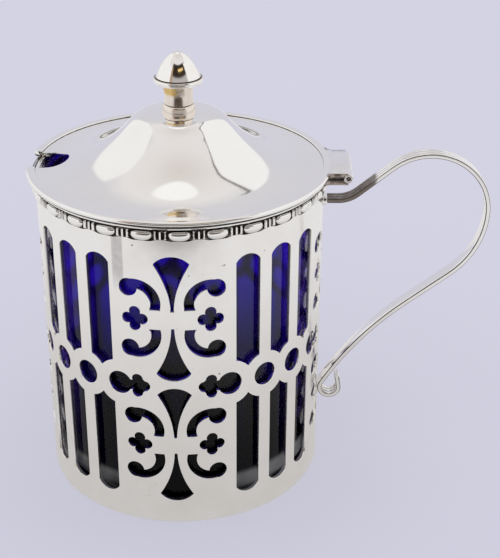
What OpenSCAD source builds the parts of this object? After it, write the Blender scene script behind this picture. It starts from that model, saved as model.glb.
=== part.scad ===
// Silver mustard pot: a pierced drum with a glass liner, a hinged ogee lid and a looped strap handle.
// Millimetres, +Z up. The origin is the middle of the base on the table, and the handle lies along +X.

/* [Drum] */
// Outer diameter of the drum
drum_d = 57; // [52:0.5:64]
// Height of the drum from the table to its top edge
drum_h = 65.6; // [60:0.2:76]
// Thickness of the sheet that the drum is rolled from
drum_wall = 0.8; // [0.6:0.05:1.2]
// Thickness of the base disc
base_t = 0.9; // [0.7:0.1:1.6]

/* [Openwork tiers] */
// Height of the plain band under the openwork
low_band = 5.3; // [4:0.1:8]
// Height of the plain band above the openwork, with the border
top_band = 6.3; // [5:0.1:8]
// Plain metal between the round ends of the two tiers' fans
fan_end_gap = 1.8; // [1.2:0.1:3]
// Width of a fan across its corners
fan_w = 6.6; // [5:0.1:7.4]
// Rise of a fan's round end above its corners
fan_crown = 1.5; // [0.8:0.1:2]
// Width of a fan at its tip
fan_tip_w = 0.5; // [0.3:0.05:0.8]
// Radius of a fan's hollow sides
fan_side_r = 19; // [15:1:40]
// Plain metal between the tips of two fans
fan_tip_gap = 3.7; // [3:0.1:5]
// Distance of a scroll's centre from the middle of the panel
scroll_x = 7.05; // [6.8:0.05:7.4]
// Distance of a scroll's centre from the middle of the tier
scroll_z = 3.3; // [3:0.05:3.6]
// Radius of a scroll, along the middle of its arm
scroll_r = 3.95; // [3.6:0.05:4.1]
// Width of a scroll's arm
scroll_w = 1.85; // [1.4:0.05:2.2]
// Diameter of the ball that ends a scroll
ball_d = 3.5; // [2.8:0.1:3.8]
// How far a ball swells out past its scroll's arm
ball_swell = 0.2; // [0.1:0.05:0.4]
// Angle that a scroll's arm sweeps up to its ball
ball_angle = 112; // [100:1:120]
// Distance of a scroll's square end from the middle of the tier
scroll_foot = 2.1; // [1.8:0.1:2.6]
// Distance of a quatrefoil from the middle of the panel
quatrefoil_x = 7.15; // [6.8:0.05:7.4]
// Diameter of one lobe of a quatrefoil
lobe_d = 2.15; // [2.1:0.05:2.4]
// Distance of a lobe from the middle of its quatrefoil
lobe_out = 1.42; // [1.2:0.02:1.44]

/* [Openwork slots] */
// Width of a slot
slot_w = 5; // [4:0.1:5.6]
// Depth of the slots' upper ends below the fans' upper ends
slot_drop = 0.9; // [0:0.1:2]
// Radius of a slot's round ends
slot_end_r = 2.9; // [2.85:0.05:4]
// Angle between neighbouring slots, in degrees
slot_step = 15.5; // [14.5:0.1:16.5]
// Depth of the row of roundels below the middle of the two tiers
roundel_drop = 0.7; // [0:0.1:1.5]
// Diameter of a roundel
roundel_d = 4.8; // [4:0.1:5.2]
// Width of the metal ring round a roundel
ring_w = 2.5; // [2.3:0.05:2.8]

/* [Border] */
// Height of the applied border under the lid
border_h = 3.1; // [2.6:0.1:4]
// Thickness of the border's ground
border_ground = 0.35; // [0.25:0.05:0.5]
// How far the eggs stand out of the drum
border_relief = 0.9; // [0.7:0.05:1.2]
// Height of the plain fillet along the border's top
fillet_h = 0.6; // [0.4:0.1:0.9]
// How far the fillet stands out of the drum
fillet_relief = 0.75; // [0.5:0.05:0.85]
// Height of the plain line along the border's foot
foot_line_h = 0.3; // [0.2:0.05:0.5]
// How far the line along the border's foot stands out of the drum
foot_line_relief = 0.6; // [0.4:0.05:0.8]
// Number of eggs round the border
egg_count = 26; // [22:1:28]
// Width of an egg
egg_w = 4.4; // [3.6:0.1:4.8]
// Diameter of one dart bar
dart_d = 0.56; // [0.4:0.02:0.7]
// Distance between the dart bars
dart_step = 0.8; // [0.7:0.02:0.95]

/* [Lid] */
// How far the lid's rim stands out past the drum
lid_overhang = 1.65; // [1.4:0.05:2.2]
// Thickness of the lid's sheet
lid_t = 0.8; // [0.6:0.05:1]
// Width of the wire round the lid's edge
rim_w = 1.8; // [1.5:0.05:2.4]
// Height of the wire round the lid's edge
rim_h = 1.1; // [0.9:0.05:1.4]
// Height of the lid's crown above its flat edge
crown_h = 9.3; // [7.5:0.1:11]
// Radius of the gently domed crown
crown_r = 8; // [6.5:0.1:9]
// Slope at the crown's edge, in degrees
crown_slope = 5; // [3:0.5:8]
// Radius of the shoulder round the crown
shoulder_r = 4; // [3:0.1:6]
// Width of the flat edge inside the rim wire
flat_w = 0.9; // [0.5:0.1:2]
// Width of the spoon notch
notch_w = 8; // [6:0.1:10]
// Depth of the spoon notch from the lid's edge
notch_l = 8.2; // [6:0.1:9.5]
// Radius of the notch's rounded mouth
notch_mouth_r = 1.2; // [0.6:0.1:1.6]

/* [Finial] */
// Diameter of the finial's foot
foot_d = 6.6; // [5.6:0.1:7.4]
// Height of the finial's foot
foot_h = 2.5; // [1.8:0.1:2.8]
// Diameter of the neck at its bottom
neck_low_d = 5.5; // [4.6:0.1:5.8]
// Diameter of the neck at its top
neck_top_d = 6.4; // [5.6:0.1:7]
// Height of the neck
neck_h = 4.1; // [3.2:0.1:5.2]
// Hollow of the neck's side
neck_hollow = 0.35; // [0.2:0.05:0.5]
// Diameter of the flange under the knop
flange_d = 9.7; // [8.6:0.1:11]
// Thickness of the flange
flange_t = 1.3; // [0.9:0.1:1.7]
// Diameter of the knop at its widest
knop_d = 8.7; // [7.4:0.1:9]
// Height of the pointed knop
knop_h = 5.3; // [4.5:0.1:7]
// Fullness of the knop's sides, from 1 for a plain bow to 2 for an egg's end
knop_full = 1.45; // [1:0.05:2]
// Diameter of the stud under the finial
stud_d = 2.5; // [2:0.1:3]
// Length of the stud under the lid's sheet
stud_out = 2.2; // [2:0.1:3]
// Width of the nut across its flats
nut_w = 5; // [4:0.1:6]
// Thickness of the nut
nut_t = 1.7; // [1.2:0.1:1.9]

/* [Hinge] */
// Width of the hinge along its pin
hinge_w = 12.8; // [10:0.1:14]
// Radius of the hollow corners where the lid's leaf meets the rim
leaf_corner_r = 1.3; // [0.8:0.1:1.6]
// Distance of the pin from the drum's wall
pin_out = 4.5; // [4:0.1:5.5]
// Diameter of the pin
pin_d = 0.8; // [0.6:0.05:1]
// Outer diameter of the knuckles
knuckle_d = 1.9; // [1.7:0.05:2.2]
// How far the pin's ends are sunk in the knuckles
pin_sink = 0.35; // [0.2:0.05:0.6]
// Thickness of the leaf on the body
body_leaf_t = 1.2; // [0.9:0.05:1.6]

/* [Handle] */
// Width of the strap
strap_w = 3.2; // [2.6:0.1:4.4]
// Thickness of the strap
strap_t = 1; // [0.8:0.05:1.4]
// Number of reeds along the strap's outer face
reed_count = 3; // [2:1:4]
// Width of the grooves between the reeds
reed_gap = 0.3; // [0.2:0.05:0.4]
// Depth of the grooves between the reeds
reed_depth = 0.25; // [0.15:0.05:0.3]
// Depth of the strap's upper end below the drum's top
stem_drop = 6.6; // [5.8:0.1:9]
// Radius of the bend from the stem into the loop
rise_r = 6; // [4:0.1:9]
// How far back the rise starts from where it would meet the loop with no ramp between them
ramp_back = 2.2; // [1:0.1:3]
// How far the loop stands out from the drum
handle_reach = 33.5; // [31:0.1:38]
// Radius of the loop's upper part
loop_r = 11.9; // [10:0.1:13]
// Radius of the loop's lower part
heel_r = 17.8; // [14:0.1:19]
// Depth of the loop's outermost point below the drum's top
loop_drop = 8.8; // [8:0.1:12]
// Length of the straight run below the loop
run_l = 10.5; // [6:0.1:16]
// How much flatter the straight run is than a line to the curl, in degrees
run_bow = 7.5; // [4:0.5:10]
// Radius of the curl at the strap's lower end, along the strap's middle
curl_r = 2; // [1.5:0.1:2.6]
// Height of the curl's centre
curl_z = 15.4; // [12:0.1:20]
// Direction of the strap at the tip of the curl, in degrees
curl_tip = 100; // [60:1:105]
// Length of the straight tip after the curl
tip_l = 2.4; // [1:0.1:3]
// Thickness of the pad under the strap's upper end
pad_t = 0.8; // [0.6:0.1:1.2]
// How far the pad stands out on each side of the strap
pad_side = 0.3; // [0.2:0.05:1]
// How far the pad stands out above and below the strap
pad_lip = 0.3; // [0.2:0.05:1.5]

/* [Liner] */
// Gap between the liner and the drum
liner_gap = 0.7; // [0.4:0.05:1.5]
// Thickness of the liner's wall
liner_wall = 2; // [1.5:0.1:3]
// Thickness of the liner's floor
liner_floor = 2.6; // [2:0.1:4]
// Radius of the liner's heel
liner_heel = 6; // [4:0.1:8]
// Depth of the liner's rim below the drum's top
liner_drop = 1.4; // [1:0.1:3]

/* [Fits] */
// Gap at a soldered seam
seam = 0.02; // [0.01:0.01:0.05]
// Gap between the closed lid and the drum
lid_gap = 0.1; // [0.05:0.01:0.3]
// Running gap round the hinge pin
pin_gap = 0.03; // [0.01:0.01:0.06]
// Running gap between the hinge's knuckles and leaves
hinge_gap = 0.1; // [0.06:0.01:0.2]
// Gap under the loose liner
liner_rest = 0.05; // [0.02:0.01:0.2]
// Gap round the finial's stud
stud_gap = 0.05; // [0.02:0.01:0.15]

/* [Hidden] */
$fn = 96;

silver = [0.86, 0.86, 0.88];
pale_silver = [0.93, 0.93, 0.94];
warm_silver = [0.84, 0.79, 0.72];
cobalt = [0.10, 0.09, 0.42];

// How far a cutting shape runs past what it cuts
past = 1;
// Number of sides for large circles
fine_fn = 240;
// How closely straight steps follow the arcs of a turned profile
turned_tol = 0.005;
// How closely straight steps follow the bends of the strap
strap_tol = 0.015;
// Number of straight steps along the curves of the finial
finial_steps = 16;

drum_r = drum_d / 2;
drum_in_r = drum_r - drum_wall;

// Four alike panels, with the groups of slots half-way between them
panel_count = 4;
panel_step = 360 / panel_count;
slots_in_group = 3;
roundels_in_group = slots_in_group + 1;
handle_panel = 0;

// Two tiers of fans, tip to tip in each tier, fill the height between the plain bands
fan_reach = (drum_h - low_band - top_band - fan_end_gap) / 4;
fan_l = fan_reach - fan_crown - fan_tip_gap / 2;
tier_pitch = 2 * fan_reach + fan_end_gap;
tiers_z = low_band + fan_reach + tier_pitch / 2;
slot_low_z = low_band;
slot_top_z = drum_h - top_band - slot_drop;
roundel_z = tiers_z - roundel_drop;
scroll_angle = scroll_x / drum_r * 180 / PI;

border_in_r = drum_r + seam;
border_r = drum_r + border_relief;
border_low_z = drum_h - border_h;
egg_step = 360 / egg_count;
egg_r = (pow(egg_w / 2, 2) + pow(border_relief, 2)) / (2 * border_relief);
egg_z = border_low_z + (egg_w + foot_line_h) / 2;
darts_in_gap = 3;

lid_r = drum_r + lid_overhang;
lid_low_z = drum_h + lid_gap;
plate_r = lid_r - rim_w - seam;
flat_r = plate_r - flat_w;
crown_top_z = lid_low_z + lid_t + crown_h;
notch_c_x = notch_l - lid_r - notch_w / 2;

// The ogee is a domed crown, a convex shoulder and a concave sweep, each tangent to the next
crown_dome_r = crown_r / sin(crown_slope);
crown_drop = crown_dome_r * (1 - cos(crown_slope));
ogee_run = flat_r - crown_r + shoulder_r * sin(crown_slope);
ogee_fall = crown_h - crown_drop + shoulder_r * (1 - cos(crown_slope));
ogee_slope = 2 * atan(ogee_fall / ogee_run);
sweep_r = ogee_run / sin(ogee_slope) - shoulder_r;
crown_c = [0, crown_top_z - crown_dome_r];
shoulder_c = crown_c + (crown_dome_r - shoulder_r) * [sin(crown_slope), cos(crown_slope)];
sweep_c = [flat_r, lid_low_z + lid_t + sweep_r];

stud_r = stud_d / 2;
hub_hole_r = stud_r + stud_gap;
nut_corner_r = nut_w / 2 / cos(30);
// The nut's corners clear the underside of the domed crown
crown_in_r = crown_dome_r - lid_t;
nut_drop = crown_in_r - sqrt(pow(crown_in_r, 2) - pow(nut_corner_r, 2));
nut_z = crown_top_z - lid_t - nut_drop - seam - nut_t;

pin_x = drum_r + pin_out;
pin_z = drum_h + lid_gap / 2;
pin_r = pin_d / 2;
knuckle_r = knuckle_d / 2;
knuckle_bore_r = pin_r + pin_gap;
knuckle_l = (hinge_w - 2 * hinge_gap) / 3;
knuckle_step = knuckle_l + hinge_gap;

pad_w = strap_w + 2 * pad_side;
pad_h = strap_t + 2 * pad_lip;

// The strap's middle line: stem, rise, ramp, upper loop, heel, straight run, fall, curl and tip, all tangent
stem_z = drum_h - stem_drop;
stem_x = drum_r + pad_t + seam;
loop_z = drum_h - loop_drop;
loop_c = [drum_r + handle_reach - strap_t / 2 - loop_r, loop_z];
heel_c = [loop_c[0] + loop_r - heel_r, loop_z];
rise_far_x = loop_c[0] - sqrt(pow(rise_r + loop_r, 2) - pow(stem_z + rise_r - loop_z, 2));
rise_c = [max(stem_x, rise_far_x - ramp_back), stem_z + rise_r];
rise_to_loop = loop_c - rise_c;
rise_turn = atan2(rise_to_loop[1], rise_to_loop[0]) + asin((rise_r + loop_r) / norm(rise_to_loop));
curl_c = [drum_r + seam + strap_t / 2 + curl_r, curl_z];
curl_to_heel = heel_c - curl_c;
tangent_slope = atan2(curl_to_heel[1], curl_to_heel[0]) - asin((heel_r + curl_r) / norm(curl_to_heel));
run_slope = tangent_slope - run_bow;
run_dir = [-cos(run_slope), -sin(run_slope)];
run_left = [sin(run_slope), -cos(run_slope)];
run_start = heel_c + heel_r * run_left;
run_end = run_start + run_l * run_dir;
run_to_curl = run_end - curl_c;
fall_r = (pow(curl_r, 2) - run_to_curl * run_to_curl) / (2 * (run_to_curl * run_left + curl_r));
fall_c = run_end + fall_r * run_left;
fall_to_curl = curl_c - fall_c;
fall_end = atan2(fall_to_curl[1], fall_to_curl[0]);

liner_r = drum_in_r - liner_gap;
liner_low_z = base_t + liner_rest;
liner_top_z = drum_h - liner_drop;
liner_in_heel = liner_heel - liner_wall;
liner_lip_r = liner_wall / 2;

// Number of straight steps that keep within a tolerance of an arc
function arc_steps(r, turn, tol) = max(2, ceil(abs(turn) * PI / 180 * sqrt(r / tol / 8)));

// Points along an arc from angle a to angle b, both ends included
function arc(c, r, a, b, steps) =
    [for (i = [0 : steps]) let (t = a + (b - a) * i / steps) c + r * [cos(t), sin(t)]];

function reversed(points) = [for (i = [len(points) - 1 : -1 : 0]) points[i]];

// Centre of the circle of radius r through p and q, on the right of the way from p to q
function right_centre(p, q, r) =
    let (half = (q - p) / 2, side = [half[1], -half[0]] / norm(half))
    p + half + side * sqrt(r * r - half * half);

// A ring with a square section
module ring(r_in, r_out, low_z, height) {
    rotate_extrude()
        translate([r_in, low_z])
            square([r_out - r_in, height]);
}

// One fan with its tip at the origin, opening along +Y
module fan() {
    side_c = right_centre([fan_tip_w / 2, 0], [fan_w / 2, fan_l], fan_side_r);
    end_r = (pow(fan_w / 2, 2) + pow(fan_crown, 2)) / (2 * fan_crown);
    end_y = fan_l + fan_crown - end_r;
    intersection() {
        difference() {
            translate([-fan_w, 0])
                square([2 * fan_w, fan_l + fan_crown]);
            for (s = [-1, 1])
                translate([s * side_c[0], side_c[1]])
                    circle(r = fan_side_r);
        }
        union() {
            translate([0, end_y])
                circle(r = end_r);
            translate([-fan_w, -past])
                square([2 * fan_w, end_y + past]);
        }
    }
}

// One scroll with the centre of its arc at the origin, its ball on the outer side
module scroll() {
    far = 2 * scroll_r;
    foot_y = scroll_foot - scroll_z;
    ball_out = scroll_r + scroll_w / 2 - ball_d / 2 + ball_swell;
    intersection() {
        difference() {
            circle(r = scroll_r + scroll_w / 2);
            circle(r = scroll_r - scroll_w / 2);
        }
        polygon([[0, foot_y], [-far, foot_y], [-far, far], [-far / tan(ball_angle), far], [0, 0]]);
    }
    rotate(180 - ball_angle)
        translate([ball_out, 0])
            circle(d = ball_d);
}

module quatrefoil() {
    square(lobe_out, center = true);
    for (a = [0 : 90 : 270])
        rotate(a)
            translate([lobe_out, 0])
                circle(d = lobe_d);
}

// A slot of both tiers, parted by the rings round the roundels on either side
module slot() {
    half_step_x = drum_r * sin(slot_step / 2);
    low_c = slot_low_z + slot_end_r;
    top_c = slot_top_z - slot_end_r;
    difference() {
        intersection() {
            translate([-slot_w / 2, slot_low_z])
                square([slot_w, slot_top_z - slot_low_z]);
            union() {
                for (z = [low_c, top_c])
                    translate([0, z])
                        circle(r = slot_end_r);
                translate([-slot_w, low_c])
                    square([2 * slot_w, top_c - low_c]);
            }
        }
        for (s = [-1, 1])
            translate([s * half_step_x, roundel_z])
                circle(r = roundel_d / 2 + ring_w);
    }
}

// The fans of one panel; the handle's panel stays plain behind the handle's pad
module panel_fans(angle) {
    for (tier = [-1, 1], up = [-1, 1]) {
        behind_pad = angle == handle_panel && tier > 0 && up > 0;
        if (!behind_pad)
            translate([0, tiers_z + tier * tier_pitch / 2])
                mirror([0, up < 0 ? 1 : 0])
                    translate([0, fan_tip_gap / 2])
                        fan();
    }
}

// The scrolls and quatrefoils on one side of a panel, drawn about the scrolls' centre line
module panel_side() {
    for (tier = [-1, 1]) {
        for (up = [-1, 1])
            translate([0, tiers_z + tier * tier_pitch / 2])
                mirror([0, up < 0 ? 1 : 0])
                    translate([0, scroll_z])
                        scroll();
        translate([quatrefoil_x - scroll_x, tiers_z + tier * tier_pitch / 2])
            quatrefoil();
    }
    translate([quatrefoil_x - scroll_x, roundel_z])
        quatrefoil();
}

// Pushes a flat shape radially through the drum's wall at an angle
module pierce(angle) {
    rotate(angle)
        translate([drum_in_r - past, 0, 0])
            rotate([90, 0, 90])
                linear_extrude(drum_wall + 2 * past)
                    children();
}

module pierced_drum() {
    color(pale_silver)
        difference() {
            ring(drum_in_r, drum_r, 0, drum_h);
            for (panel = [0 : panel_count - 1]) {
                angle = panel * panel_step;
                pierce(angle)
                    panel_fans(angle);
                for (s = [-1, 1])
                    pierce(angle + s * scroll_angle)
                        mirror([s < 0 ? 1 : 0, 0])
                            panel_side();
                for (i = [0 : slots_in_group - 1])
                    pierce(angle + panel_step / 2 + (i - (slots_in_group - 1) / 2) * slot_step)
                        slot();
                for (i = [0 : roundels_in_group - 1])
                    pierce(angle + panel_step / 2 + (i - (roundels_in_group - 1) / 2) * slot_step)
                        translate([0, roundel_z])
                            circle(d = roundel_d);
            }
        }
}

module base_plate() {
    color(silver)
        cylinder(r = drum_in_r - seam, h = base_t);
}

module rim_border() {
    color(silver) {
        ring(border_in_r, drum_r + border_ground, border_low_z, border_h);
        ring(border_in_r, drum_r + fillet_relief, drum_h - fillet_h, fillet_h);
        ring(border_in_r, drum_r + foot_line_relief, border_low_z, foot_line_h);
        intersection() {
            ring(border_in_r, border_r + past, border_low_z, border_h);
            for (i = [0 : egg_count - 1])
                rotate(i * egg_step) {
                    rotate(egg_step / 2)
                        translate([border_r - egg_r, 0, egg_z])
                            sphere(r = egg_r);
                    for (j = [0 : darts_in_gap - 1]) {
                        dart_y = (j - (darts_in_gap - 1) / 2) * dart_step;
                        translate([drum_r + border_ground, dart_y, border_low_z])
                            cylinder(d = dart_d, h = border_h);
                    }
                }
        }
    }
}

module glass_liner() {
    floor_z = liner_low_z + liner_floor;
    heel_steps = arc_steps(liner_heel, 90, turned_tol);
    lip_steps = arc_steps(liner_lip_r, 180, turned_tol);
    color(cobalt)
        rotate_extrude()
            polygon(concat(
                [[0, liner_low_z]],
                arc([liner_r - liner_heel, liner_low_z + liner_heel], liner_heel, -90, 0, heel_steps),
                arc([liner_r - liner_lip_r, liner_top_z - liner_lip_r], liner_lip_r, 0, 180, lip_steps),
                arc([liner_r - liner_heel, floor_z + liner_in_heel], liner_in_heel, 0, -90, heel_steps),
                [[0, floor_z]]));
}

// Half outline of the lid's top face, moved in by a depth of sheet
function lid_face(depth) = concat(
    arc(crown_c, crown_dome_r - depth, 90, 90 - crown_slope,
        arc_steps(crown_dome_r, crown_slope, turned_tol)),
    arc(shoulder_c, shoulder_r - depth, 90 - crown_slope, 90 - ogee_slope,
        arc_steps(shoulder_r, ogee_slope, turned_tol)),
    arc(sweep_c, sweep_r + depth, 270 - ogee_slope, 270,
        arc_steps(sweep_r, ogee_slope, turned_tol)),
    [[plate_r, lid_low_z + lid_t - depth]]);

// The spoon notch: a round-ended way in from the lid's edge, opposite the hinge, with a rounded mouth
module notch() {
    mouth_x = -sqrt(pow(lid_r, 2) - pow(notch_w / 2 + notch_mouth_r, 2));
    translate([0, 0, lid_low_z - past])
        linear_extrude(crown_h + lid_t + 2 * past) {
            translate([notch_c_x, 0])
                circle(d = notch_w);
            translate([-lid_r - past, -notch_w / 2])
                square([notch_c_x + lid_r + past, notch_w]);
            for (s = [-1, 1])
                mirror([0, s < 0 ? 1 : 0])
                    difference() {
                        translate([-lid_r - past, 0])
                            square([mouth_x + lid_r + past + notch_mouth_r, notch_w / 2 + notch_mouth_r]);
                        translate([mouth_x + notch_mouth_r, notch_w / 2 + notch_mouth_r])
                            circle(r = notch_mouth_r);
                    }
        }
}

module lid_plate() {
    color(pale_silver)
        difference() {
            rotate_extrude()
                polygon(concat(lid_face(0), reversed(lid_face(lid_t))));
            translate([0, 0, crown_top_z - lid_t - past])
                cylinder(r = hub_hole_r, h = lid_t + 2 * past);
            notch();
        }
}

module lid_rim() {
    edge_r = rim_h / 2;
    color(silver)
        difference() {
            rotate_extrude() {
                translate([lid_r - rim_w, lid_low_z])
                    square([rim_w - edge_r, rim_h]);
                translate([lid_r - edge_r, lid_low_z + edge_r])
                    circle(r = edge_r);
            }
            notch();
        }
}

// Half outline of the finial above the lid: foot, hollow neck, flange and pointed knop
function finial_outline() =
    let (foot_low = crown_top_z,
        neck_low = foot_low + foot_h,
        flange_low = neck_low + neck_h,
        knop_low = flange_low + flange_t,
        hollow_l = neck_h - flange_t / 2)
    concat(
        [[0, foot_low]],
        arc([foot_d / 2 - foot_h / 2, foot_low + foot_h / 2], foot_h / 2, -90, 90, finial_steps),
        [for (i = [0 : finial_steps]) let (t = i / finial_steps)
            [(neck_low_d + (neck_top_d - neck_low_d) * t) / 2 - neck_hollow * sin(180 * t),
                neck_low + hollow_l * t]],
        arc([flange_d / 2 - flange_t / 2, flange_low + flange_t / 2], flange_t / 2, -90, 90, finial_steps),
        [for (i = [0 : finial_steps]) let (t = i / finial_steps)
            [knop_d / 2 * cos(90 * t), knop_low + knop_h * pow(sin(90 * t), 2 / knop_full)]]);

module finial() {
    color(warm_silver) {
        rotate_extrude()
            polygon(finial_outline());
        translate([0, 0, crown_top_z - lid_t - stud_out])
            cylinder(r = stud_r, h = lid_t + stud_out + foot_h / 2);
    }
}

module finial_nut() {
    color(silver)
        translate([0, 0, nut_z])
            difference() {
                cylinder(r = nut_corner_r, h = nut_t, $fn = 6);
                translate([0, 0, -past])
                    cylinder(r = hub_hole_r, h = nut_t + 2 * past);
            }
}

// A round bar along the hinge's pin, centred at a place along it
module along_pin(radius, length, y = 0) {
    translate([pin_x, y, pin_z])
        rotate([90, 0, 0])
            cylinder(r = radius, h = length, center = true);
}

module knuckle(y) {
    difference() {
        along_pin(knuckle_r, knuckle_l, y);
        along_pin(knuckle_bore_r, knuckle_l + past, y);
    }
}

// A flat leaf between a round wall and the pin; its own knuckles fit it closely and the others run free
module leaf(wall_r, corner_r, low_z, thickness, own, other) {
    corner_x = sqrt(pow(wall_r, 2) - pow(hinge_w / 2 + corner_r, 2)) + corner_r;
    difference() {
        translate([0, 0, low_z])
            linear_extrude(thickness)
                difference() {
                    union() {
                        translate([0, -hinge_w / 2])
                            square([pin_x, hinge_w]);
                        translate([0, -hinge_w / 2 - corner_r])
                            square([corner_x, hinge_w + 2 * corner_r]);
                    }
                    for (s = [-1, 1])
                        translate([corner_x, s * (hinge_w / 2 + corner_r)])
                            circle(r = corner_r);
                    circle(r = wall_r + seam, $fn = fine_fn);
                }
        for (y = own)
            along_pin(knuckle_r + seam, knuckle_l + 2 * hinge_gap, y);
        for (y = other)
            along_pin(knuckle_r + hinge_gap, knuckle_l + 2 * hinge_gap, y);
    }
}

module lid_hinge_leaf() {
    color(silver)
        leaf(lid_r, leaf_corner_r, lid_low_z, rim_h, [0], [-knuckle_step, knuckle_step]);
}

module lid_knuckle() {
    color(silver)
        knuckle(0);
}

module body_hinge_leaf() {
    color(silver)
        leaf(border_r, leaf_corner_r, drum_h - body_leaf_t, body_leaf_t, [-knuckle_step, knuckle_step], [0]);
}

module body_knuckle_front() {
    color(silver)
        knuckle(-knuckle_step);
}

module body_knuckle_back() {
    color(silver)
        knuckle(knuckle_step);
}

module hinge_pin() {
    color(warm_silver)
        along_pin(pin_r, hinge_w - 2 * pin_sink);
}

module handle_pad() {
    color(silver)
        intersection() {
            ring(drum_r + seam, drum_r + pad_t, stem_z - pad_h / 2, pad_h);
            translate([0, -pad_w / 2, stem_z - pad_h])
                cube([drum_r + pad_w, pad_w, 2 * pad_h]);
        }
}

// The strap's middle line, moved outwards by a distance
function strap_line(out) = concat(
    [[stem_x, stem_z + out]],
    arc(rise_c, rise_r - out, -90, rise_turn - 90, arc_steps(rise_r, rise_turn, strap_tol)),
    arc(loop_c, loop_r + out, rise_turn + 90, 0, arc_steps(loop_r, rise_turn + 90, strap_tol)),
    arc(heel_c, heel_r + out, 0, run_slope - 90, arc_steps(heel_r, 90 - run_slope, strap_tol)),
    arc(fall_c, fall_r - out, run_slope + 90, fall_end,
        arc_steps(fall_r, fall_end - run_slope - 90, strap_tol)),
    arc(curl_c, curl_r - out, fall_end, curl_tip + 270,
        arc_steps(curl_r, curl_tip + 270 - fall_end, strap_tol)),
    [curl_c + (curl_r - out) * [sin(curl_tip), -cos(curl_tip)] + tip_l * [cos(curl_tip), sin(curl_tip)]]);

// A strip that follows the strap between two distances from its middle line
module strap_strip(inner, outer, width) {
    rotate([90, 0, 0])
        linear_extrude(width, center = true)
            polygon(concat(strap_line(outer), reversed(strap_line(inner))));
}

module handle_strap() {
    color(silver)
        difference() {
            strap_strip(-strap_t / 2, strap_t / 2, strap_w);
            for (i = [1 : reed_count - 1])
                translate([0, (i - reed_count / 2) * strap_w / reed_count, 0])
                    strap_strip(strap_t / 2 - reed_depth, strap_t, reed_gap);
        }
}

pierced_drum();
base_plate();
rim_border();
glass_liner();
lid_plate();
lid_rim();
finial();
finial_nut();
lid_hinge_leaf();
lid_knuckle();
body_hinge_leaf();
body_knuckle_front();
body_knuckle_back();
hinge_pin();
handle_pad();
handle_strap();
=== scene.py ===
"""Silver mustard pot with a cobalt glass liner, on a pale table in a light tent."""
import math
import bpy
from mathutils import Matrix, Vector


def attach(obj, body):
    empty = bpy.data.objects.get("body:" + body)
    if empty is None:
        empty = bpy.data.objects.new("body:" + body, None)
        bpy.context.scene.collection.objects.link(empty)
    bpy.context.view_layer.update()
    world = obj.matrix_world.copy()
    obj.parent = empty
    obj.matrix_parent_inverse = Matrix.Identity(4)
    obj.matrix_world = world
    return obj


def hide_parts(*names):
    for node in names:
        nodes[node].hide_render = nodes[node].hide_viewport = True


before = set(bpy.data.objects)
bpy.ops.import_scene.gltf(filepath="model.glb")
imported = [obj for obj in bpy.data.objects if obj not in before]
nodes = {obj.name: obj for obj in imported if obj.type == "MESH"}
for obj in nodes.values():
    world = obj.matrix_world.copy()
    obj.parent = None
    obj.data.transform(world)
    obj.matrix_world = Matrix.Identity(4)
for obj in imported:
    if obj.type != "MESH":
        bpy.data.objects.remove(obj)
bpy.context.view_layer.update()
scene = bpy.context.scene
scene.view_settings.view_transform = "Standard"

# Pieces are shaped in millimetres, then brought down to metres when they are finished.
MM = 0.001

# Sizes of the pot: lengths in millimetres, turns and slopes in degrees, counts and fullness as numbers
drum_r = 28.5
drum_h = 65.6
drum_wall = 0.8
edge_round = 0.13
low_band = 5.3
top_band = 6.3
fan_end_gap = 1.8
fan_w = 6.6
fan_crown = 1.5
fan_tip_w = 0.5
fan_side_r = 19.0
fan_tip_gap = 3.7
scroll_x = 7.05
scroll_z = 3.3
scroll_r = 3.95
scroll_w = 1.85
ball_d = 3.5
ball_swell = 0.2
ball_angle = 112.0
scroll_foot = 2.1
quatrefoil_x = 7.15
lobe_r = 1.075
lobe_out = 1.42
slot_w = 5.0
slot_drop = 0.9
slot_end_r = 2.9
slot_step = 15.5
roundel_drop = 0.7
roundel_r = 2.4
ring_w = 2.5
border_h = 3.1
border_ground = 0.24
egg_count = 26
first_egg = 3.35
egg_half_l = 1.98
egg_up = 0.66
egg_down = 1.26
egg_rise = 1.42
egg_full = 2.5
egg_crown_full = 2.6
egg_relief = 0.66
bar_step = 0.92
bar_half = 0.24
bar_foot = 0.35
bar_foot_ease = 0.30
bar_head = 2.14
bar_head_ease = 0.16
bar_relief = 0.56
fillet_low = 2.40
fillet_high = 2.54
fillet_bend = 2.95
fillet_fall = 0.35
fillet_relief = 0.51
scallop_h = 0.30
scallop_start = 1.5
scallop_end = 2.9
border_lip = 0.20
lid_r = 30.15
lid_low = 65.7
lid_t = 0.8
rim_w = 1.8
rim_h = 1.1
rim_corner = 0.22
plate_r = 28.33
flat_r = 27.43
crown_top = 75.8
dome_top = 77.15
dome_edge_r = 6.2
dome_slope = 4.0
dome_shoulder_r = 5.0
dome_ease = 0.8
hollow_edge_r = 8.0
hollow_slope = 5.0
hollow_shoulder_r = 4.0
notch_w = 8.0
notch_l = 8.2
notch_mouth_r = 1.2
notch_edge = 0.12
finial_low = 76.85
foot_d = 6.7
foot_round = 0.75
foot_h = 1.85
neck_low_d = 5.7
neck_top_d = 6.7
neck_h = 4.1
neck_hollow = 0.12
flange_d = 9.7
flange_t = 1.3
knop_d = 8.7
knop_h = 4.9
knop_full = 1.03
stud_r = 1.25
stud_out = 2.2
stud_chamfer = 0.2
turned_line = 0.05
foot_line_in = 0.10
foot_line_down = 0.04
knop_line_in = 0.14
knop_line_down = 0.16
hinge_w = 12.8
leaf_corner_r = 1.3
leaf_sunk = 0.55
leaf_edge = 0.12
leaf_in_knuckle = 0.06
body_leaf_t = 1.2
border_r = 29.4
pin_x = 33.0
pin_z = 65.65
pin_r = 0.4
pin_l = 12.1
pin_end_r = 0.15
pin_gap = 0.03
knuckle_r = 0.95
knuckle_l = 4.2
hinge_gap = 0.1
strap_w = 3.2
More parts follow.
